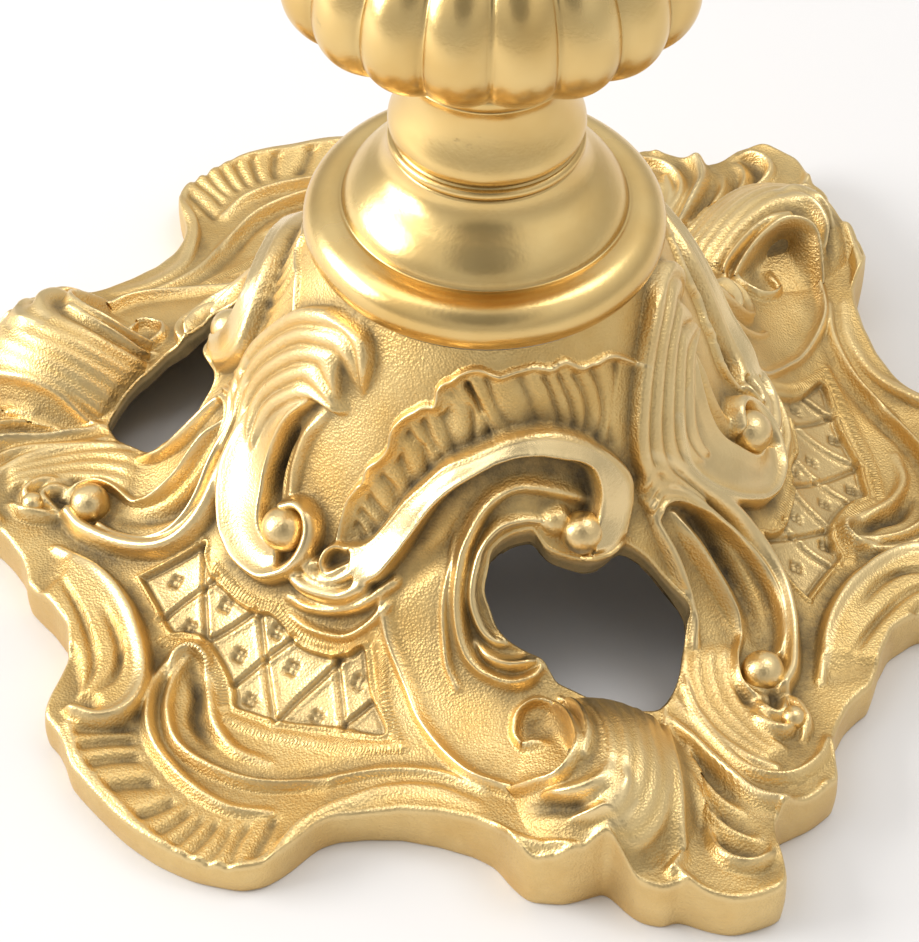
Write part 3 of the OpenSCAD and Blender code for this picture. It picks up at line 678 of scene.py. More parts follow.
def foot_leaf(r):
    """Acanthus, shell and fishtail of the foot below the opening."""
    # broad concave shell from the right-hand scroll to the foot's right corner
    r.strands([(75.5, -81.5), (75, -90.5), (77, -99.5), (81.5, -107.5), (86.5, -114), (92, -119)],
              [(62, -87), (62.5, -96.5), (65, -104.5), (71, -112.5), (78.5, -119.5), (86, -124)], 3, 2.2,
              1.5, sharp=1.2, polish=0.3)
    r.ridge([(60, -88), (61, -97), (64, -106), (70, -114.5), (78, -121.5), (86, -125)], (0.5, 2.4, 3, 3, 2),
            2.2, 2, polish=0.6)
    # hammered rib along the shell's lower side, with a flat band above it
    r.ridge([(57.5, -109.5), (62.5, -115), (68, -121.5), (73.5, -128.5), (78.5, -134), (85, -137),
            (92, -137.3), (98, -135), (101, -130.5)], (2, 4.4, 5, 5.6, 5.8, 5.6, 5), (3.6, "hollow"), 2.6,
            (0.7, 1, 1.1, 1.1, 0.9), polish=1.0)
    r.ridge([(59, -104), (65, -110.5), (70, -117.5), (75, -123.5), (81, -127.5), (88.5, -128.5),
            (94.5, -126), (99.5, -120.5), (102.5, -114)], (1, 3, 3.8, 4, 4, 3.6, 3), 1.6, (3.4, "bevel"),
            polish=0.6)
    # small leaves beside the ball
    for tip in ([(81, -100), (85, -105.5), (89, -106), (90.5, -100)],
                [(91, -97), (94.5, -102.5), (96.5, -108), (95.5, -112.5)],
                [(79.5, -103.5), (84, -110), (89.5, -112), (94, -108.5)]):
        r.ridge(tip, (1.5, 4.6, 5, 3), 2.2, 2.2, (0.6, 1, 1, 0.6), polish=0.6)

    # acanthus: a smooth mound whose strands sweep round to the left into pointed tips
    r.cut([(64, -124.5), (66, -137.5), (70, -150), (80, -158.5)], (1, 2, 2.4, 1.2), 9.5, 9.5)
    r.ridge([(61, -119), (64.5, -130), (70, -138), (77, -142), (84, -142.5)], (1, 2.6, 3, 2.4, 1), 1.4,
            (3.4, "hollow"), (0.7, 1, 1, 0.7), polish=0.4)
    r.ridge([(62, -130), (65.5, -141), (71, -148), (78, -151), (85, -150)], (1, 2.6, 3.2, 2.6, 1), 1.4,
            (3.4, "hollow"), (0.7, 1, 1, 0.7), polish=0.4)
    r.strands([(28, -106.5), (33, -121), (35, -132), (34.5, -139), (30.5, -143.5), (25, -145)],
              [(51.5, -107), (54, -125), (55, -140), (53, -151.5), (47, -159), (39, -162)], 5, 1.9, 1.2,
              sharp=1.0, polish=0.4)
    r.cut([(36, -152), (29, -152), (21, -149), (16, -146.5)], (0.8, 2.4, 2.4, 0.8), 3.4, 3.4)
    r.ridge([(38, -139.5), (36.5, -143.5), (32, -146.5), (26, -147), (20, -145)], (1, 4.2, 4.8, 4.6, 2.5),
            2.3, 2.3, (0.7, 1, 1, 0.5), polish=0.8)
    r.ridge([(41.5, -140), (41, -146), (38, -151), (33, -153.5), (27, -153.5)], (1, 4.0, 4.6, 4.0, 1.5), 2,
            2.6, (0.7, 1, 1.1, 0.5), polish=0.9)
    r.ridge([(44, -150), (41, -154), (37, -156.8), (31, -158)], (1, 2.6, 2.4, 0.6), 1.8, 2.2,
            (0.6, 1, 1, 0.6), polish=0.7)
    # midrib, fishtail edge with its rolled toe, and a small leaf on it
    r.ridge([(55, -104.5), (54.8, -124.5), (56.3, -140), (56.5, -150), (57, -158), (55, -163)],
            (1, 2.6, 3.6, 4, 4.2), (6, "hollow"), 1.6, (0.7, 0.9, 1, 1), polish=0.6)
    r.ridge([(57.5, -164), (61.5, -169), (66.5, -172), (72.5, -172.6), (79.5, -171), (86, -166.5),
            (89, -163)], (3, 4.6, 5, 5, 4.6, 3), (5, "hollow"), 2.2, (0.8, 1, 1, 0.8), polish=0.8)
    r.ridge([(66, -148.5), (68.5, -156), (73, -159.5), (79, -159), (85, -154)], (1, 3.4, 4.2, 4, 2.6), 1.6,
            2.2, (0.6, 1, 1, 0.7), polish=0.6)


def side_scroll(r):
    """The scroll on the ridge between two feet, with its plume and spiral."""
    outer = [(-61, -29), (-68, -29.5), (-73, -35), (-75, -42), (-74.8, -49), (-73.8, -54.5), (-71, -60),
             (-67, -64.5), (-62.5, -67.8), (-58, -69)]
    inner = [(-49, -41.5), (-54, -40.5), (-58, -41.5), (-61.5, -45.5), (-63, -50.5), (-63.8, -55),
             (-63, -58.8), (-60.5, -62), (-58, -63.5)]
    # broad hollow band with rolled edges
    r.bevel(outer, inner, (2.5, 4.4, 5, 5.6, 6, 6), (3.5, 4.6, 4.8, 4.6, 4.4, 4.4), -1.6, 0.7)
    r.ridge(outer + [(-54, -69.3), (-50.5, -68), (-48.5, -64.5), (-49, -60.5), (-52, -57.4), (-56, -56.6)],
            (2.5, 4.4, 5, 5.6, 6, 6.4, 6.8, 7, 7, 6), 1.8, 2.4, (0.8, 1, 1, 1, 1.1, 1.3, 1.4, 1.2),
            polish=1.0)
    r.ridge([(-46, -42.5), *inner[:7], (-60, -62.5), (-56.5, -63)], (3, 4.6, 5, 5, 4.8, 4.4, 4.2, 4.4),
            1.4, 1.5, polish=0.8)
    # dark slot and a smooth band on the right of it
    r.cut([(-51.5, -44), (-56, -43.3), (-59, -46), (-60.2, -50.5), (-60, -54)], (0.5, 3.2, 3.8, 3.4, 1.5),
          2, 2)
    r.ridge([(-45, -46), (-50, -46.5), (-53.5, -49.5), (-55, -54)], (1, 3, 3, 2), (3, "soft"),
            (4.6, "soft"), polish=0.5)
    # plume: arched strands that bend over to the right
    upper = [(-76, -27.5), (-75, -18), (-68.5, -11.5), (-58.5, -16.5), (-45.5, -27.5), (-37, -34.5),
             (-32, -41), (-31, -46), (-34, -49.5)]
    lower = [(-65.5, -42), (-64, -37.5), (-60.5, -36), (-54, -38.5), (-48.5, -41.5), (-45, -44.5),
             (-41, -48), (-37.5, -49.8)]
    r.strands(upper, lower, 5, 4.6, 2.8, sharp=0.6, polish=0.6)


def fringe(r):
    """The ruffled edge above the crest, with ribs that run down to it, and flutes up to the collar."""
    edge = [(-41.5, -69), (-40, -65), (-38, -62), (-36, -61.3), (-34.5, -61), (-33, -61), (-32.5, -60),
            (-31.5, -59.5), (-28.5, -59.5), (-26, -58.8), (-25.5, -57.5), (-24.5, -56.5), (-22, -56),
            (-19, -56), (-16.5, -56), (-13, -56.5), (-12.4, -55), (-11, -54.2), (-8.5, -54), (-5.4, -53.2),
            (-1, -52.9), (4.3, -53.8), (9.5, -52.6), (14.3, -51.2), (19, -50.4), (23, -48.2), (27.3, -47.6),
            (31.8, -45.2), (36, -42), (41.5, -39.2), (46, -37)]
    for at, v, u in r.between(edge[:20], CREST + [(4, -62.5)]):
        wave = np.abs(np.sin(np.pi * u * 10 + 0.9 * np.sin(7 * u) + 0.6 * v)) ** 0.6
        fold = smoothstep(0, 0.08, v) * smoothstep(0, 0.15, 1 - v)
        r.height[at] += (2.6 * wave * (1 - 0.5 * v) - 2.6) * fold
    r.ridge(edge, (2, 3.2, 3.2, 3, 2.8, 2.6, 2.4, 2.2, 1.6), (1.0, "cliff"), (3.4, "hollow"), polish=0.9)
    collar = [(-9, -55), (-1, -54), (9.8, -53.2), (19.6, -50.8), (27.3, -48), (36, -42.6), (42, -39)]
    crest = [(3, -62), (10.5, -60.5), (20, -58.5), (29.5, -56.5), (37, -55), (44, -50)]
    for at, v, u in r.between(collar, crest):
        wave = np.abs(np.sin(np.pi * (9 * u + 0.35 * np.sin(11 * u) + 0.4 * v))) ** 0.7
        fold = smoothstep(0, 0.06, v) * (1 - 0.5 * v) * smoothstep(0, 0.1, 1 - u)
        r.height[at] += (1.9 * wave - 1.7) * fold


def trellis(r):
    """The diaper panel: a sunk ground in a double frame, crossed grooves and small four-petalled punches."""
    panel = [(-103.5, -56.5), (-93.5, -53.5), (-82.5, -52), (-82, -56.5), (-80, -62), (-75.5, -67),
             (-71, -71.5), (-66, -75), (-61.5, -76.5), (-57, -80.5), (-52.5, -86), (-44.5, -90),
             (-38.5, -91), (-33, -90.5), (-30.5, -101.5), (-26, -115), (-42.5, -110.5), (-57.5, -107.5),
             (-66.5, -104), (-71.5, -101.5), (-72.5, -96), (-76.5, -87.5), (-82, -80), (-87.5, -77.5),
             (-92.5, -76.5), (-97.5, -67.5)]
    grooves = [[(-84, -52.5), (-82.5, -68.5), (-81, -81)], [(-65.5, -75.5), (-62.5, -91), (-59.5, -106)],
               [(-41.5, -92), (-38.5, -111)], [(-95, -72), (-88, -67), (-78.5, -63)],
               [(-79, -79.5), (-67, -75)], [(-72, -94), (-62.5, -87.5), (-54.5, -84)],
               [(-58.5, -106.5), (-52, -100), (-39.5, -91.5)], [(-38, -109), (-31.5, -105)]]
    r.dish(panel, 1.0, 1.6)
    for groove in grooves:
        for at, d, *_ in r.beside(groove, 3):
            r.fine[at] += 0.3 * np.exp(-((d - 1.7) / 0.9) ** 2) - 1.0 * np.exp(-(d / 0.8) ** 2)
    punches = [(-92, -60), (-76, -71), (-86.5, -75), (-60, -81.5), (-71, -85.5), (-55, -91.5),
               (-67, -99), (-35, -98.5), (-47, -106)]
    for x, y in punches:
        for dx, dy in ((1.3, 0.3), (-1.3, -0.3), (0.3, -1.3), (-0.3, 1.3)):
            for at, d in r.around(x + dx, y + dy, 2.5):
                r.fine[at] -= 1.3 * np.exp(-(d / 1.0) ** 2)
    # the frame: a bead on the outline and a groove inside it
    for at, d, _ in r.within(panel, 4):
        r.fine[at] += 1.0 * np.exp(-(d / 0.7) ** 2) - 0.6 * np.exp(-((d - 1.5) / 0.6) ** 2)
        r.shine(at, 0.45 * smoothstep(0, 1, d))
    # milled ribbons outside the frame
    for ribbon in ([(-79, -60), (-72, -68.5), (-66, -73.2), (-60, -76), (-55, -81), (-50.5, -85),
                    (-43.5, -88), (-37, -89.2), (-30.5, -88.5)],
                   [(-29, -91), (-26.5, -105), (-22.5, -117.5)],
                   [(-74, -105), (-63, -110), (-51, -113.3), (-36.5, -116.8), (-21.5, -119.5)],
                   [(-94, -79), (-92, -80.5), (-85.5, -81.5), (-80.5, -85.5), (-76.2, -93), (-74.5, -101)]):
        r.ridge(ribbon, (0.8, 0.8), (1.9, "flat"), (1.9, "flat"), mill=1.2)


def lower_border(r):
    """Mouldings that sweep along the base's edge, the spoon-shaped curl and the shell rim under it."""
    r.cut([(-86.5, -112.5), (-74.5, -123.5), (-58.5, -127), (-40.5, -124), (-22.5, -123), (-8, -128)],
          (0.5, 1.4, 1.4, 1.2, 0.8, 0.3), 4, 4)
    r.ridge([(-86, -85), (-89.5, -93.5), (-90.5, -104), (-87, -115), (-77.5, -123), (-63.5, -128.5),
            (-46.5, -128.5), (-26.5, -126.5), (-10, -129.5), (2, -136)],
            (2, 3.6, 4.2, 4.2, 3.6, 2.6, 1.8, 1.2), (3.2, "hollow"), 2.2, (1, 1, 1, 0.9, 0.8), polish=0.55)
    r.ridge([(-91, -86), (-95.5, -95), (-96.5, -106), (-94, -115.5), (-88.5, -123.5), (-80.5, -131.5),
            (-70.5, -137.5), (-59.5, -138.5)], (2, 3.8, 4.4, 4.2, 3.8, 3, 1.6), (3, "bevel"), 2, polish=0.5)
    # spoon: a curled lip over a hollow
    r.cut([(-84.5, -90), (-82.5, -97.5), (-82.5, -105.5), (-78.5, -113.5)], (1, 3, 3, 1), 3.6, 3.2)
    r.ridge([(-91.5, -90.5), (-89.5, -84.5), (-84.5, -82.5), (-80.5, -86), (-80, -91)],
            (2, 4.2, 4.8, 3.6, 1.5), 2.2, 2.2, (0.8, 1, 1, 0.6), polish=0.6)
    r.ridge([(-79.5, -92), (-78.5, -100), (-76.5, -108), (-70.5, -116.5), (-60.5, -121)],
            (0.8, 2.4, 2.6, 2, 0.8), 2.4, 1.8, polish=0.4)
    # shell rim: ribs across, a rolled outer edge
    shell_in = [(-99.5, -106), (-98, -113.5), (-95, -122), (-89.5, -130.5), (-81, -137), (-72, -141),
                (-63.5, -141), (-55.5, -138.5)]
    shell_out = [(-119, -110), (-116.5, -118.5), (-111, -127.5), (-103, -136), (-93, -146.5), (-82, -154.5),
                 (-69, -158.5), (-55, -153.5)]
    for at, v, u in r.between(shell_in, shell_out):
        wave = np.abs(np.sin(np.pi * (11 * u + 0.5 * np.sin(9 * u) + 0.5 * v))) ** 0.6
        fold = smoothstep(0, 0.2, v) * smoothstep(0, 0.1, 1 - v)
        r.height[at] += (3.2 * wave - 3.0) * fold + 1.8 * v
    r.ridge(shell_out, (1.2, 2.2, 2.6, 2.6, 2.6, 2.2, 1.5), 1.4, 2.2, polish=0.4)
    # raised edge moulding to the right of the shell, and the low rise before the foot
    r.ridge([(-57, -156), (-53, -149), (-47.5, -142.5), (-38.5, -137), (-26.5, -133), (-12, -134.5),
            (0, -140.5)], (3, 3.6, 3, 2, 1.4, 1, 0.6), 1.6, (6, "soft"), polish=0.4)
    r.ridge([(4, -149.5), (12, -155), (22, -158.5), (33, -162)], (2.6, 3.4, 3.4, 2.6), 2.2, 2.6, polish=0.5)


def fluted_lobe(r):
    """The rounded lobe at the left of each foot's panel, with two flutes along it."""
    edge = [(-129, -43), (-114.5, -55), (-105.5, -67.5), (-100, -81.5), (-98.3, -92.5), (-100.5, -102),
            (-105.5, -107.5), (-111.5, -109), (-118, -107)]
    rim = [(-136, -63), (-128.5, -71), (-122, -80), (-118.5, -88), (-117, -96), (-118, -102)]
    for at, v, u in r.between(edge, rim):
        r.merge(at, (4.6 - 2.4 * v) * smoothstep(0, 0.1, u) * smoothstep(0, 0.08, 1 - u))
    r.ridge(edge, (2, 4.8, 5.4, 5.8, 6, 5.8, 4.8), 1.8, 4, (0.7, 1, 1.1, 1.1, 0.9), polish=0.7)
    r.cut([(-127, -56), (-120, -69), (-115, -82), (-113.5, -90), (-115, -97)], (0.4, 1.8, 2, 2, 1), 1.3,
          2.6)
    r.cut([(-112, -69), (-107.3, -79.5), (-105.8, -87), (-107, -94), (-111, -98)], (0.4, 1.8, 2.4, 2.2, 1),
          1.2, 2.8)


# ---------------------------------------------------------------------------------------------
# The base casting: grid, ornament, openings, edge, wall and underside
# ---------------------------------------------------------------------------------------------
# Columns and rows of one third's grid; the rows run from the stem's seat to the edge
COLUMNS, ROWS, UNDER_ROWS = 570, 340, 44
PIECES = 9
EDGE_ROLL = 1.6
RIM_WIDTH = 8.0
WALL = 5.0
LIP = 0.9
# mean profile from the seat: how far out it runs, the edge's height and the share of the fall used
MEAN_RUN, MEAN_EDGE, MEAN_FALL = 118.0, 15.0, 0.84
RECESS_DEPTH = 2.8
# The scrolls' balls, which overhang their ground: x, y, height over the ground, radius
BALLS = [(28.8, -70.8, 2.8, 6.4), (-56.6, -61, 2.2, 7.0), (84, -90.8, 2.8, 6.4), (92.5, -107.3, 2.2, 3.8)]


def blur(field, size):
    """A box mean over about size grid steps, twice, closed round the columns."""
    for _ in range(2):
        for axis, mode in ((0, "edge"), (1, "wrap")):
            pad = [(0, 0), (0, 0)]
            pad[axis] = (size + 1, size)
            total = np.cumsum(np.pad(field, pad, mode=mode), axis=axis)
            n = field.shape[axis]
            upper = np.take(total, np.arange(2 * size + 1, 2 * size + 1 + n), axis=axis)
            lower = np.take(total, np.arange(0, n), axis=axis)
            field = (upper - lower) / (2 * size + 1)
    return field


def third_grid():
    """One third's radii, x and y: columns by angle, rows evenly spaced along the mean profile."""
    angles = FIRST + 120 * np.arange(COLUMNS) / COLUMNS
    f = np.linspace(0, 1, 400)
    drop = np.hypot(np.gradient(MEAN_RUN * f), np.gradient((BASE_H - MEAN_EDGE) * FALL(f * MEAN_FALL)))
    place = np.concatenate([[0], np.cumsum(drop[1:])])
    out = np.interp(np.linspace(0, place[-1], ROWS), place, f)
    radius = SEAT + out[:, None] * (_by_angle(_outline, angles)[None] - EDGE_ROLL - SEAT)
    return radius, radius * np.cos(np.radians(angles)), radius * np.sin(np.radians(angles))


def ornament(radius, x, y):
    """One third's height, polish, milling and sunk depth, raised by every motif in turn."""
    relief = Relief(x, y)
    for motif in (trellis, lower_border, fluted_lobe, fringe, side_scroll, foot_leaf, hearts_scrolls):
        motif(relief)
    relief.even_edge(HEART, 1.2)
    height, fine, polish, mill, sunk = (field.reshape(x.shape) for field in (
        relief.height, relief.fine, relief.polish, relief.mill, relief.sunk))
    free = smoothstep(SEAT + 0.5, SEAT + 3.0, radius)
    return blur(height * free, 1) + fine * free, polish, mill, blur(sunk, 2)


def all_round(x, y):
    """The whole round's x and y, from one third's."""
    plan = np.column_stack([x.ravel(), y.ravel()])
    thirds = [turn(plan, 120 * k).reshape(*x.shape, 2) for k in range(3)]
    return (np.concatenate([third[..., axis] for third in thirds], 1) for axis in (0, 1))


def upper_surface(x, y, height):
    """The ornament raised along the ground's normal, but straight up beside the edge, over its wall."""
    slope_x, slope_y = slopes(x, y)
    normal = np.stack([-slope_x, -slope_y, np.ones_like(x)], -1)
    normal /= np.linalg.norm(normal, axis=-1)[..., None]
    beside = ROWS // 18
    upright = smoothstep(0, 1, (np.arange(ROWS) - (ROWS - beside)) / (beside - 3))[:, None, None]
    lean = normal * (1 - upright) + np.array([0, 0, 1.0]) * upright
    return np.stack([x, y, ground(x, y)], -1) + lean * height[..., None]


def pierce(x, y, outlines):
    """Mask of the vertices inside an opening, and the last ones inside with their places on an outline."""
    hole = np.zeros(x.shape, bool)
    for outline in outlines:
        low, high = outline.min(0) - 3, outline.max(0) + 3
        idx = np.nonzero((x > low[0]) & (x < high[0]) & (y > low[1]) & (y < high[1]))
        hole[idx] |= inside(outline, x[idx], y[idx])
    padded = np.pad(hole, ((1, 1), (0, 0)), mode="edge")
    whole = hole.copy()
    for dr in (0, 1, 2):
        for dc in (-1, 0, 1):
            whole &= np.roll(padded[dr:dr + len(hole)], dc, axis=1)
    lip = np.nonzero(hole & ~whole)
    plan = np.column_stack([x[lip], y[lip]])
    every = np.vstack(outlines)
    near = [((part[:, None] - every[None]) ** 2).sum(-1).argmin(1) for part in np.array_split(plan, 30)]
    return hole, lip, every[np.concatenate(near)]


def edge_rows(rim):
    """Rolled edge, wall, floor ring and inner wall under the rim: rows of vertices, and their polish."""
    angle, r, z = np.arctan2(rim[:, 1], rim[:, 0]), np.hypot(rim[:, 0], rim[:, 1]), rim[:, 2]
    wall_top = z - EDGE_ROLL
    rows = [(r + EDGE_ROLL * math.sin(a), z - EDGE_ROLL * (1 - math.cos(a)), 0.5)
            for a in np.radians([18, 36, 54, 72, 90])]
    rows += [(r + EDGE_ROLL + 0.5 * math.sin(math.pi * t), wall_top * (1 - t) + 0.6 * t, 0.2)
             for t in np.linspace(0, 1, 15)[1:]]
    rows += [(r + EDGE_ROLL - 0.6, 0 * z, 0.2), (r + EDGE_ROLL - RIM_WIDTH, 0 * z, 0.1),
             (r + EDGE_ROLL - RIM_WIDTH - 0.5, wall_top - WALL + 1, 0.0)]
    c, s = np.cos(angle), np.sin(angle)
    places = np.stack([np.column_stack([out * c, out * s, up]) for out, up, _ in rows])
    return places, [lit for _, _, lit in rows]


def underside(x, y, sunk, outlines):
    """The plain ground one wall lower, on fewer rows, from the edge back to the seat; and its holes."""
    rows = np.linspace(ROWS - 8, 2, UNDER_ROWS).astype(int)
    x, y = x[rows], y[rows]
    steep = np.hypot(*slopes(x, y))
    hole, lip, snapped = pierce(x, y, outlines)
    x[lip], y[lip] = snapped.T
    wall = WALL * np.sqrt(1 + np.minimum(steep, 1.5) ** 2)
    return np.stack([x, y, np.minimum(ground(x, y) - wall, BASE_H - WALL) - sunk[rows]], -1), hole


def vertex_normals(verts, faces):
    """Normals weighted by the faces' areas, of the whole surface, so that its pieces meet without a seam."""
    a, b, c, d = (verts[faces[:, i]] for i in range(4))
    of_face = np.cross(c - a, d - b)
    normals = np.zeros_like(verts)
    for i in range(4):
        for axis in range(3):
            normals[:, axis] += np.bincount(faces[:, i], of_face[:, axis], minlength=len(verts))
    length = np.linalg.norm(normals, axis=1)
    normals[length > 0] /= length[length > 0][:, None]
    return normals


def cast_piece(name, verts, faces, colours, normals=None):
    """A piece of the base casting."""
    new_object(name, verts, faces, "base_casting", "stand", CAST, normals, colours)


def build_balls():
    """One piece of balls for each third."""
    a, b = np.linspace(0, np.pi, 24)[:, None], np.arange(48)[None] * np.pi / 24
    unit = np.stack([np.sin(a) * np.cos(b), np.sin(a) * np.sin(b), np.cos(a) + 0 * b], -1).reshape(-1, 3)
    quads = np.concatenate([ring_faces(24, 48)[:, ::-1] + len(unit) * i for i in range(len(BALLS))])
    shade = np.zeros((len(unit) * len(BALLS), 4))
    shade[:, 0] = 0.7
    for k, degrees in enumerate(THIRDS):
        balls = []
        for x, y, lift, size in BALLS:
            plan = turn([(x, y)], degrees)
            balls.append(raised(plan[:, 0], plan[:, 1], np.array([lift])) + unit * size)
        cast_piece(f"scroll_balls_{k + 1}", np.concatenate(balls), quads, shade)


def build_opening_wall(name, outline, lip_plan, lip_height):
    """Wall of an opening: a rounded lip as high as the ornament beside it, then down through the casting."""
    step = np.linalg.norm(np.diff(np.vstack([outline, outline[:1]]), axis=0), axis=1)
    length = np.concatenate([[0], np.cumsum(step)])
    q = np.linspace(0, length[-1], 360, endpoint=False)
    ring = np.column_stack([np.interp(q, length, np.append(outline[:, i], outline[0, i])) for i in (0, 1)])
    tangent = np.roll(ring, -1, 0) - np.roll(ring, 1, 0)
    inward = np.column_stack([-tangent[:, 1], tangent[:, 0]])
    inward /= np.linalg.norm(inward, axis=1)[:, None]
    if not inside(outline, *(ring[:1] + inward[:1]).T)[0]:
        inward = -inward
    h = lip_height[[((lip_plan - p) ** 2).sum(1).argmin() for p in ring]]
    for _ in range(2):
        h = (h + np.roll(h, 1) + np.roll(h, -1)) / 3
    crown = raised(ring[:, 0], ring[:, 1], h)
    low = np.minimum(ground(ring[:, 0], ring[:, 1]) - WALL - 2.0, crown[:, 2] - 3)
    foot = np.column_stack([ring, low])
    rings = []
    for a in np.radians([0, 30, 60, 90]):
        fall = np.full(len(ring), -LIP * (1 - math.cos(a)))
        rings.append(crown + np.column_stack([inward * LIP * math.sin(a), fall]))
    rings += [rings[3] * (1 - t) + foot * t for t in (0.25, 0.5, 0.75, 1.0)]
    shade = np.zeros((len(rings) * len(ring), 4))
    shade[:, 0] = 0.35
    shade[len(ring) * 5:, 1] = 0.5
    cast_piece(name, np.concatenate(rings), ring_faces(len(rings), len(ring)), shade)


def build_base():
    """The base casting: ornament, rolled edge, wall and underside as one surface, then balls and openings."""
    outlines = [spline(turn(HEART, degrees), 0.25, closed=True) for degrees in THIRDS]
    radius, x, y = third_grid()
    height, polish, mill, sunk = (np.tile(field, (1, 3)) for field in ornament(radius, x, y))
    x, y = all_round(x, y)
    recess = np.clip((blur(height, 12) - height) / RECESS_DEPTH, 0, 1)
    height = height - sunk

    # rows from the seat out over the ornament, down the edge and back under it
    top = upper_surface(x, y, height)
    hole, lip, snapped = pierce(x, y, outlines)
    top[lip] = raised(snapped[:, 0], snapped[:, 1], height[lip])
    edge, edge_polish = edge_rows(top[-1])
    lower, low_hole = underside(x, y, sunk, outlines)
    surface = np.concatenate([top, edge, lower])
    rows, columns = surface.shape[:2]
    verts = surface.reshape(-1, 3)

    # faces go where all their corners lie in an opening
    gone = np.zeros((rows, columns), bool)
    gone[:ROWS] = hole
    gone[-UNDER_ROWS:] = low_hole
    faces = ring_faces(rows, columns)[:, ::-1]
    faces = faces[~gone.reshape(-1)[faces].all(1)]

    # the colour layer carries polish, recess and milling to the material
    colours = np.zeros((rows, columns, 4))
    colours[:ROWS] = np.stack([polish, recess, mill, np.ones_like(mill)], -1)
    colours[ROWS:-UNDER_ROWS, :, 0] = np.array(edge_polish)[:, None]
    colours[ROWS:-UNDER_ROWS, :, 1] = 0.05
    colours[-UNDER_ROWS:, :, 1] = 0.8
    colours = colours.reshape(-1, 4)

    normals = vertex_normals(verts, faces)
    piece_of = faces[:, 0] % columns * PIECES // columns
    for k in range(PIECES):
        used, renumbered = np.unique(faces[piece_of == k], return_inverse=True)
        quads = renumbered.reshape(-1, 4)
        cast_piece(f"base_relief_{k + 1}", verts[used], quads, colours[used], normals[used])

    build_balls()
    for k, outline in enumerate(outlines):
        build_opening_wall(f"opening_wall_{k + 1}", outline, snapped, height[lip])


build_base()


# ---------------------------------------------------------------------------------------------
# Turned pieces: outlines in section from the axis, in millimetres over each node's foot
# ---------------------------------------------------------------------------------------------

def turned_surface(r, a, z):
    """Vertices (r cos a, r sin a, z) of rows of points turned by the angles a."""
    x = r * np.cos(a)
    return np.stack([x, r * np.sin(a), np.broadcast_to(z, x.shape)], -1).reshape(-1, 3)


def turned_piece(name, node, r, a, z, body="stand"):
    """A turned piece of gilt bronze."""
    new_object(name, turned_surface(r, a, z), ring_faces(len(z), len(a)), node, body, TURNED)


def lathe(name, node, outline, body="stand", segments=288):
    """A closed outline (radius, height) turned round the axis."""
    outline = np.array(outline, float)
    a = np.arange(segments) * 2 * np.pi / segments
    turned_piece(name, node, outline[:, :1], a, outline[:, 1:], body)


def smooth_outline(points, step=0.7):
    """The outline through points, rounded by a Catmull-Rom curve."""
    return [tuple(p) for p in spline(points, step)]


def waisted(waist, low_flare, high_flare, z, rise, count):
    """A waisted outline: waist + flare * |d|^2.2 / its end value, d from -0.9 at the foot to 1.1."""
    outline = []
    for t in np.linspace(0, 1, count):
        d = 2 * t - 0.9
        flare, at_end = (low_flare, 0.793) if d < 0 else (high_flare, 1.233)
        outline.append((waist + flare * abs(d) ** 2.2 / at_end, z + rise * t))
    return outline


def above(z, points):
    """Outline points whose heights are measured from z."""
    return [(r, z + h) for r, h in points]


def build_collar():
    """Torus, sharp line, dome and cove of the collar."""
    z, top = span("dome_collar")
    profile = [(30, z), (49.3, z), (49.8, z + 0.3)]
    profile += arc(45, z + 7, 8.4, 8.3, -52, 93, 48)
    profile += above(z, [(43.4, 15.3), (42.7, 15.25), (42.3, 15.1), (42.0, 15.2)])
    dome = above(z, [(41.8, 15.5), (41.3, 17.2), (39.9, 19.8), (37.8, 22.4), (35.4, 24.8), (33.0, 26.8),
                     (31.0, 28.6), (29.4, 30.8), (28.3, 33.2)])
    profile += smooth_outline(dome + [(27.7, top - 0.2)])
    profile += [(27.3, top), (12, top)]
    lathe("collar", "dome_collar", profile)


# The CAD's bead, lip, cap and rings reach this far into their neighbours; what shows starts after that
SPIGOT = 3


def build_bead():
    """Thin bead between collar and neck."""
    z, top = span("bead_ring")
    top -= SPIGOT
    profile = [(14, z + 0.1), (27.0, z + 0.1), (27.2, z + 0.3)]
    profile += arc(26.9, z + 2.0, 1.75, 1.7, -85, 85, 20)
    profile += [(27.0, top - 0.7), (26.6, top - 0.2), (14, top - 0.1)]
    lathe("bead", "bead_ring", profile)


def build_neck():
    """Neck: a low swelling that draws in to a waist under the lip."""
    z, top = span("neck_spool")
    throat = above(z, [(26.7, 0.1), (27.6, 0.8), (28.2, 2.0), (28.4, 3.6), (28.1, 5.4), (27.3, 7.6),
                       (26.3, 9.9), (25.3, 12.6), (24.5, 15.4), (23.9, 18.4), (23.7, 21)])
    throat = smooth_outline(throat + [(24.2, top - 0.1)])
    lathe("neck", "neck_spool", [(18, z + 0.1)] + throat + [(18, top - 0.1)])


def build_lip():
    """Lip ring under the large knop."""
    z, top = span("lip_ring")
    z, top = z + SPIGOT, top - SPIGOT
    lathe("lip", "lip_ring", [(18, z), (24.0, z)] + arc(23.9, (z + top) / 2, 0.9, (top - z) / 2, -80, 80, 14)
          + [(24.0, top), (18, top)])


def gadroons(name, node, outline, lobes, groove, start, per_lobe=18):
    """A turned outline whose girth is lobed: r - groove * (1 - |sin|^0.75), fading to its foot and head."""
    outline = np.array(outline, float)
    n = lobes * per_lobe
    a = np.radians(start) + np.arange(n) * 2 * np.pi / n
    lobe = 1 - np.abs(np.sin((a - np.radians(start)) * lobes / 2)) ** 0.75
    r, z = outline[:, :1], outline[:, 1:]
    fade = smoothstep(0.02, 0.5, (r - r.min()) / (r.max() - r.min()))
    turned_piece(name, node, r - groove * fade * lobe, a, z)


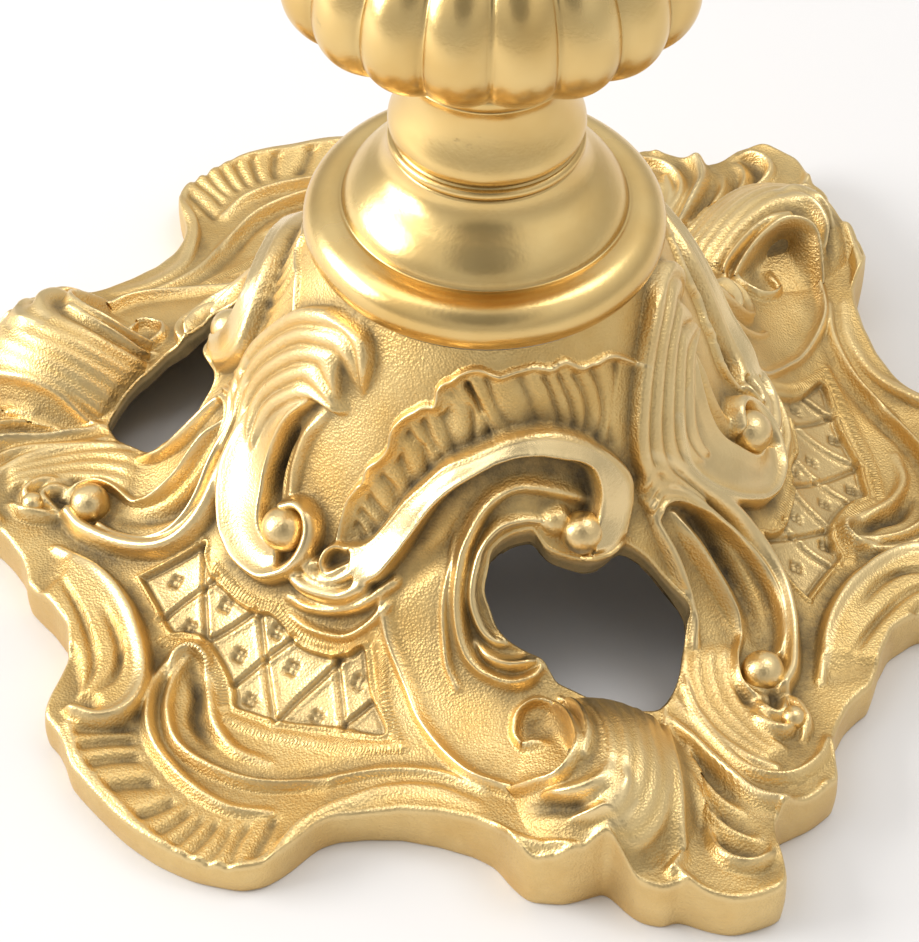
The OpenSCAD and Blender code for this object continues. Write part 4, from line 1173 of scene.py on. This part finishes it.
def build_knop():
    """Large gadrooned knop: r = foot + (girth - foot) * cos^0.66 below the belly and cos^0.82 above it."""
    z, top = span("gadroon_knop")
    belly = z + 35.8
    girth, foot = 61.0, 24.0
    profile = [(foot - 4, z), (foot, z)] + [(foot, z + 14.2 * t) for t in (0.3, 0.6, 0.9)]
    for t in np.radians(np.linspace(-90, 0, 60)):
        profile.append((foot + (girth - foot) * abs(math.cos(t)) ** 0.66, belly + 21.6 * math.sin(t)))
    for t in np.radians(np.linspace(0, 90, 60))[1:]:
        height = (top - belly - 6) * math.sin(t)
        profile.append((foot + (girth - foot) * abs(math.cos(t)) ** 0.82, belly + height))
    profile += [(foot + 0.3, top - 3), (foot + 0.8, top), (foot - 6, top)]
    gadroons("knop", "gadroon_knop", profile, 20, 3.4, -90)


def build_cap():
    """Rounded cap on the large knop."""
    z, top = span("knop_cap")
    z, top = z + SPIGOT, top - SPIGOT
    r = 24.6
    curve = arc(r - 2, (z + top) / 2, 3, (top - z) * 0.44, -80, 80, 20)
    lathe("cap", "knop_cap", [(12, z), (r - 1, z)] + curve + [(r - 3, top), (12, top)])


def build_lower_spool():
    """Waisted spool above the large knop."""
    z, top = span("lower_spool")
    lathe("spool", "lower_spool", [(10, z)] + waisted(14, 7.4, 5.0, z, top - z, 50) + [(10, top)])


def build_rings():
    """Three alike rings of the stem: a torus between two fillets."""
    for name, node in (("ring_low", "lower_ring"), ("ring_middle", "middle_ring"),
                       ("ring_high", "upper_ring")):
        z, top = span(node)
        z, top = z + SPIGOT, top - SPIGOT
        h = top - z
        lathe(name, node, [(10, z), (18.6, z), (19, z + 0.4), (19, z + h * 0.14), (18.6, z + h * 0.16)]
              + arc(23 - h * 0.34, z + h / 2, h * 0.34, h * 0.34, -88, 88, 24)
              + [(18.6, z + h * 0.84), (19, z + h * 0.86), (19, top - 0.4), (18.6, top), (10, top)])


def build_baluster():
    """Baluster: a sine bowl up to the belly, then a raised cosine to the power 1.25 up to the head."""
    z, top = span("baluster")
    rise = top - z
    belly, foot, head, girth = 0.24, 18.0, 17.0, 34.0
    profile = [(10, z)]
    for t in np.linspace(0, belly, 30):
        profile.append((foot + (girth - foot) * math.sin(math.pi / 2 * t / belly), z + rise * t))
    for t in np.linspace(belly, 1, 70)[1:]:
        swell = 0.5 + 0.5 * math.cos(math.pi * (t - belly) / (1 - belly))
        profile.append((head + (girth - head) * swell ** 1.25, z + rise * t))
    lathe("baluster_body", "baluster", profile + [(10, top)])


def build_shaft():
    """Fluted shaft: r = taper - depth * |sin(6 a)|^0.8, the flutes rounded off at both ends."""
    z, top = span("fluted_shaft")
    rise, flutes, n = top - z, 12, 240
    t = np.concatenate([[0, 0.002], np.linspace(0.012, 0.05, 14), np.linspace(0.07, 0.93, 20),
                        np.linspace(0.95, 0.988, 14), [0.998, 1]])
    a = np.arange(n) * 2 * np.pi / n
    taper = 19 - 4.5 * t - np.where((t < 0.001) | (t > 0.999), 0.6, 0)
    fade = np.sqrt(smoothstep(0.014, 0.034, t) * smoothstep(0.014, 0.034, 1 - t))
    r = taper[:, None] - 1.6 * fade[:, None] * np.abs(np.sin(a * flutes / 2))[None] ** 0.8
    turned_piece("shaft", "fluted_shaft", r, a, (z + rise * t)[:, None])


def build_small_knop():
    """Small gadrooned knop: r = 19 + 13 * cos^0.85 between two fillets."""
    z, top = span("small_knop")
    half = (top - z) / 2
    profile = [(12, z), (18, z), (18.6, z + 2)]
    for t in np.radians(np.linspace(-88, 88, 70)):
        profile.append((19 + 13 * abs(math.cos(t)) ** 0.85, z + half + (half - 4) * math.sin(t)))
    profile += [(18.6, top - 2), (18, top), (12, top)]
    gadroons("knop_small", "small_knop", profile, 16, 2.6, 0)


def build_head_spool():
    """Waisted spool under the candle cup."""
    z, top = span("head_spool")
    z += SPIGOT
    lathe("spool_high", "head_spool", [(7, z)] + waisted(13, 4.0, 3.0, z, top - z, 40) + [(7, top)])


def build_cup():
    """Candle cup: a bowl, a throat that draws in to the neck, and a flared mouth with a rounded lip."""
    z, top = span("candle_cup")
    h = top - z
    neck, girth = 18.8, 29
    profile = [(8, z), (16, z), (16, z + 2)] + arc(16, z + h * 0.42, girth - 16, h * 0.38, -90, 0, 30)
    for t in np.linspace(0, 1, 30)[1:]:
        swell = 0.5 + 0.5 * math.cos(math.pi * t)
        profile.append((neck + (girth - neck) * swell, z + h * (0.42 + 0.36 * t)))
    profile += arc(34, z + h * 0.78, 34 - neck, h * 0.22 - 4, 180, 92, 24) + [(33.6, top - 3.6)]
    profile += arc(33.2, top - 1.9, 0.8, 1.7, -80, 80, 10)
    profile += [(32.8, top), (15.2, top), (14.8, top - 0.4), (14.8, z + h * 0.4), (6, z + h * 0.4 - 0.2)]
    lathe("cup", "candle_cup", profile)


def build_pan():
    """Drip pan: a disc that rises by t^2.4 to a rim with twelve scallops, each with a low fold behind it."""
    z, top = span("drip_pan")
    lobes, n, thick = 12, 384, 3.0
    rise = top - z - thick
    a = np.arange(n) * 2 * np.pi / n
    wave = np.abs(np.cos(a * lobes / 2))
    rim = 74 - 3.5 * (1 - wave)
    t = np.linspace(0, 1, 40)
    land, hole = 36.0, 15.3
    flat = 0 * a
    radii, heights = [hole + flat, hole + 0.4 + flat], [z + thick - 0.4 + flat, z + thick + flat]
    for q in t:
        fold = 0.9 * math.sin(math.pi * q) * (wave - 0.6)
        radii.append(land + (rim - land) * q)
        heights.append(z + thick + rise * q ** 2.4 + fold * q - (0.5 if q == 1 else 0))
    for q in t[::-1]:
        radii.append(land + (rim - land) * q * 0.985)
        heights.append(z + rise * q ** 2.4 + (0.5 if q == 1 else 0) + flat)
    radii += [hole + flat, hole + flat]
    heights += [z + flat, z + thick - 0.4 + flat]
    verts = turned_surface(np.array(radii), a, np.array(heights))
    faces = ring_faces(len(radii), n)[:, ::-1]
    new_object("pan", verts, faces, "drip_pan", "pan", TURNED)


def build_nozzle():
    """Candle nozzle: sleeve, flange, collar and a vase-shaped socket."""
    z, top = span("candle_nozzle")
    seat = z + 37
    h = top - seat
    floor = seat + h - 40
    profile = [(11.5, z + 0.4), (12, z), (14.2, z), (14.5, z + 0.4), (14.5, seat), (21.4, seat),
               (21.8, seat + 0.4), (21.8, seat + 2.8)]
    profile += arc(18.8, seat + 3, 3, 2, 0, 90, 12) + arc(16, seat + 14, 3.5, 9, -88, 88, 30)
    profile += [(15 + 3.5 * t ** 2, seat + 23 + (h - 27) * t) for t in np.linspace(0.05, 1, 24)]
    profile += arc(18.5, top - 2, 1.6, 1.9, -70, 90, 14)
    profile += [(12, top), (11.6, top - 0.5), (11.6, floor), (0.4, floor)]
    lathe("nozzle_body", "candle_nozzle", profile, body="nozzle", segments=192)


for build in (build_collar, build_bead, build_neck, build_lip, build_knop, build_cap, build_lower_spool,
              build_rings, build_baluster, build_shaft, build_small_knop, build_head_spool, build_cup,
              build_pan, build_nozzle):
    build()

# Iron pieces keep their CAD shape
for name in ("clamp_plate", "bottom_washer", "bottom_nut", "tie_rod", "top_washer", "top_nut"):
    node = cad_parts[name]
    node.data.materials.clear()
    node.data.materials.append(IRON)


# ---------------------------------------------------------------------------------------------
# Floor, light and camera
# ---------------------------------------------------------------------------------------------

def build_floor():
    """A plain white floor that takes the stand's soft shadow."""
    mesh = bpy.data.meshes.new("floor")
    half = 6.0
    corners = [(-half, -half, 0), (half, -half, 0), (half, half, 0), (-half, half, 0)]
    mesh.from_pydata(corners, [], [(0, 1, 2, 3)])
    mesh.materials.append(Shade("studio_floor").finish(linear("E6E4E3"), 0.0, 0.9))
    floor = bpy.data.objects.new("floor", mesh)
    bpy.context.scene.collection.objects.link(floor)


def softbox(name, place, target, size, power):
    """A rectangular area lamp aimed at a point; metres and watts."""
    lamp = bpy.data.lights.new(name, "AREA")
    lamp.shape = "RECTANGLE"
    lamp.size, lamp.size_y = size
    lamp.energy = power
    obj = bpy.data.objects.new(name, lamp)
    obj.location = place
    aim = np.array(target) - np.array(place)
    obj.rotation_euler = Vector(aim).to_track_quat("-Z", "Y").to_euler()
    bpy.context.scene.collection.objects.link(obj)


# Camera found by fitting the photograph: the base's rim on the floor and the stem's circles
VIEW_DOWN = 46.08
DISTANCE = 0.900
FOCAL_PIXELS = 2771.9
AIM = (-0.00609, 0.006, 0.00254)
ROLL = 1.0
FRAME_WIDTH = 919
SENSOR = 36.0

# The world's grey by height, from the horizon and below (0) to straight up (1)
WORLD_GREYS = [(0.0, 0.70), (0.18, 0.56), (0.45, 0.74), (0.75, 1.0), (1.0, 0.8)]


def build_lamps():
    """Soft boxes high on the left and right, and a low one far on the left."""
    softbox("left_box", (-1.05, -0.1, 2.1), (0, 0, 0.1), (1.0, 1.2), 6)
    softbox("right_box", (0.85, 0.3, 2.1), (0, 0, 0.1), (0.8, 1.1), 10)
    softbox("low_left_box", (-1.65, -0.05, 0.8), (0, 0, 0.08), (1.1, 0.9), 27)


def build_world():
    """A pale world whose grey changes with height, with a soft darker patch towards the camera."""
    world = bpy.data.worlds.new("studio")
    bpy.context.scene.world = world
    world.use_nodes = True
    tree = world.node_tree
    back = tree.nodes["Background"]
    place = tree.nodes.new("ShaderNodeTexCoord")
    split = tree.nodes.new("ShaderNodeSeparateXYZ")
    shade = tree.nodes.new("ShaderNodeValToRGB")
    tree.links.new(place.outputs["Generated"], split.inputs[0])
    tree.links.new(split.outputs["Z"], shade.inputs[0])
    toward = tree.nodes.new("ShaderNodeVectorMath")
    toward.operation = "DOT_PRODUCT"
    down = math.radians(VIEW_DOWN)
    toward.inputs[1].default_value = (0, -math.cos(down), math.sin(down))
    tree.links.new(place.outputs["Generated"], toward.inputs[0])
    dim = tree.nodes.new("ShaderNodeMapRange")
    dim.interpolation_type = "SMOOTHSTEP"
    for socket, value in (("From Min", 0.86), ("From Max", 0.97), ("To Min", 1.0), ("To Max", 0.3)):
        dim.inputs[socket].default_value = value
    tree.links.new(toward.outputs["Value"], dim.inputs["Value"])
    tint = tree.nodes.new("ShaderNodeVectorMath")
    tint.operation = "SCALE"
    tree.links.new(shade.outputs[0], tint.inputs[0])
    tree.links.new(dim.outputs["Result"], tint.inputs["Scale"])
    tree.links.new(tint.outputs["Vector"], back.inputs["Color"])
    while len(shade.color_ramp.elements) < len(WORLD_GREYS):
        shade.color_ramp.elements.new(0.5)
    for element, (z, level) in zip(shade.color_ramp.elements, WORLD_GREYS):
        element.position = z
        element.color = (level, level * 0.995, level * 0.98, 1)
    back.inputs["Strength"].default_value = 0.95


def build_camera():
    """The photograph's camera: it looks down at VIEW_DOWN degrees from the front, rolled by ROLL."""
    down = math.radians(VIEW_DOWN)
    back = Vector((0, -math.cos(down), math.sin(down)))
    up, right = Vector((0, math.sin(down), math.cos(down))), Vector((1, 0, 0))
    roll = math.radians(ROLL)
    x_axis = math.cos(roll) * right + math.sin(roll) * up
    y_axis = -math.sin(roll) * right + math.cos(roll) * up
    data = bpy.data.cameras.new("camera")
    data.sensor_fit = "HORIZONTAL"
    data.sensor_width = SENSOR
    data.lens = FOCAL_PIXELS * SENSOR / FRAME_WIDTH
    data.clip_start, data.clip_end = 0.05, 50
    camera = bpy.data.objects.new("camera", data)
    place = Vector(AIM) + DISTANCE * back
    camera.matrix_world = Matrix.Translation(place) @ Matrix((x_axis, y_axis, back)).transposed().to_4x4()
    bpy.context.scene.collection.objects.link(camera)
    bpy.context.scene.camera = camera


build_floor()
build_lamps()
build_world()
build_camera()
bpy.context.scene.view_settings.view_transform = "Standard"
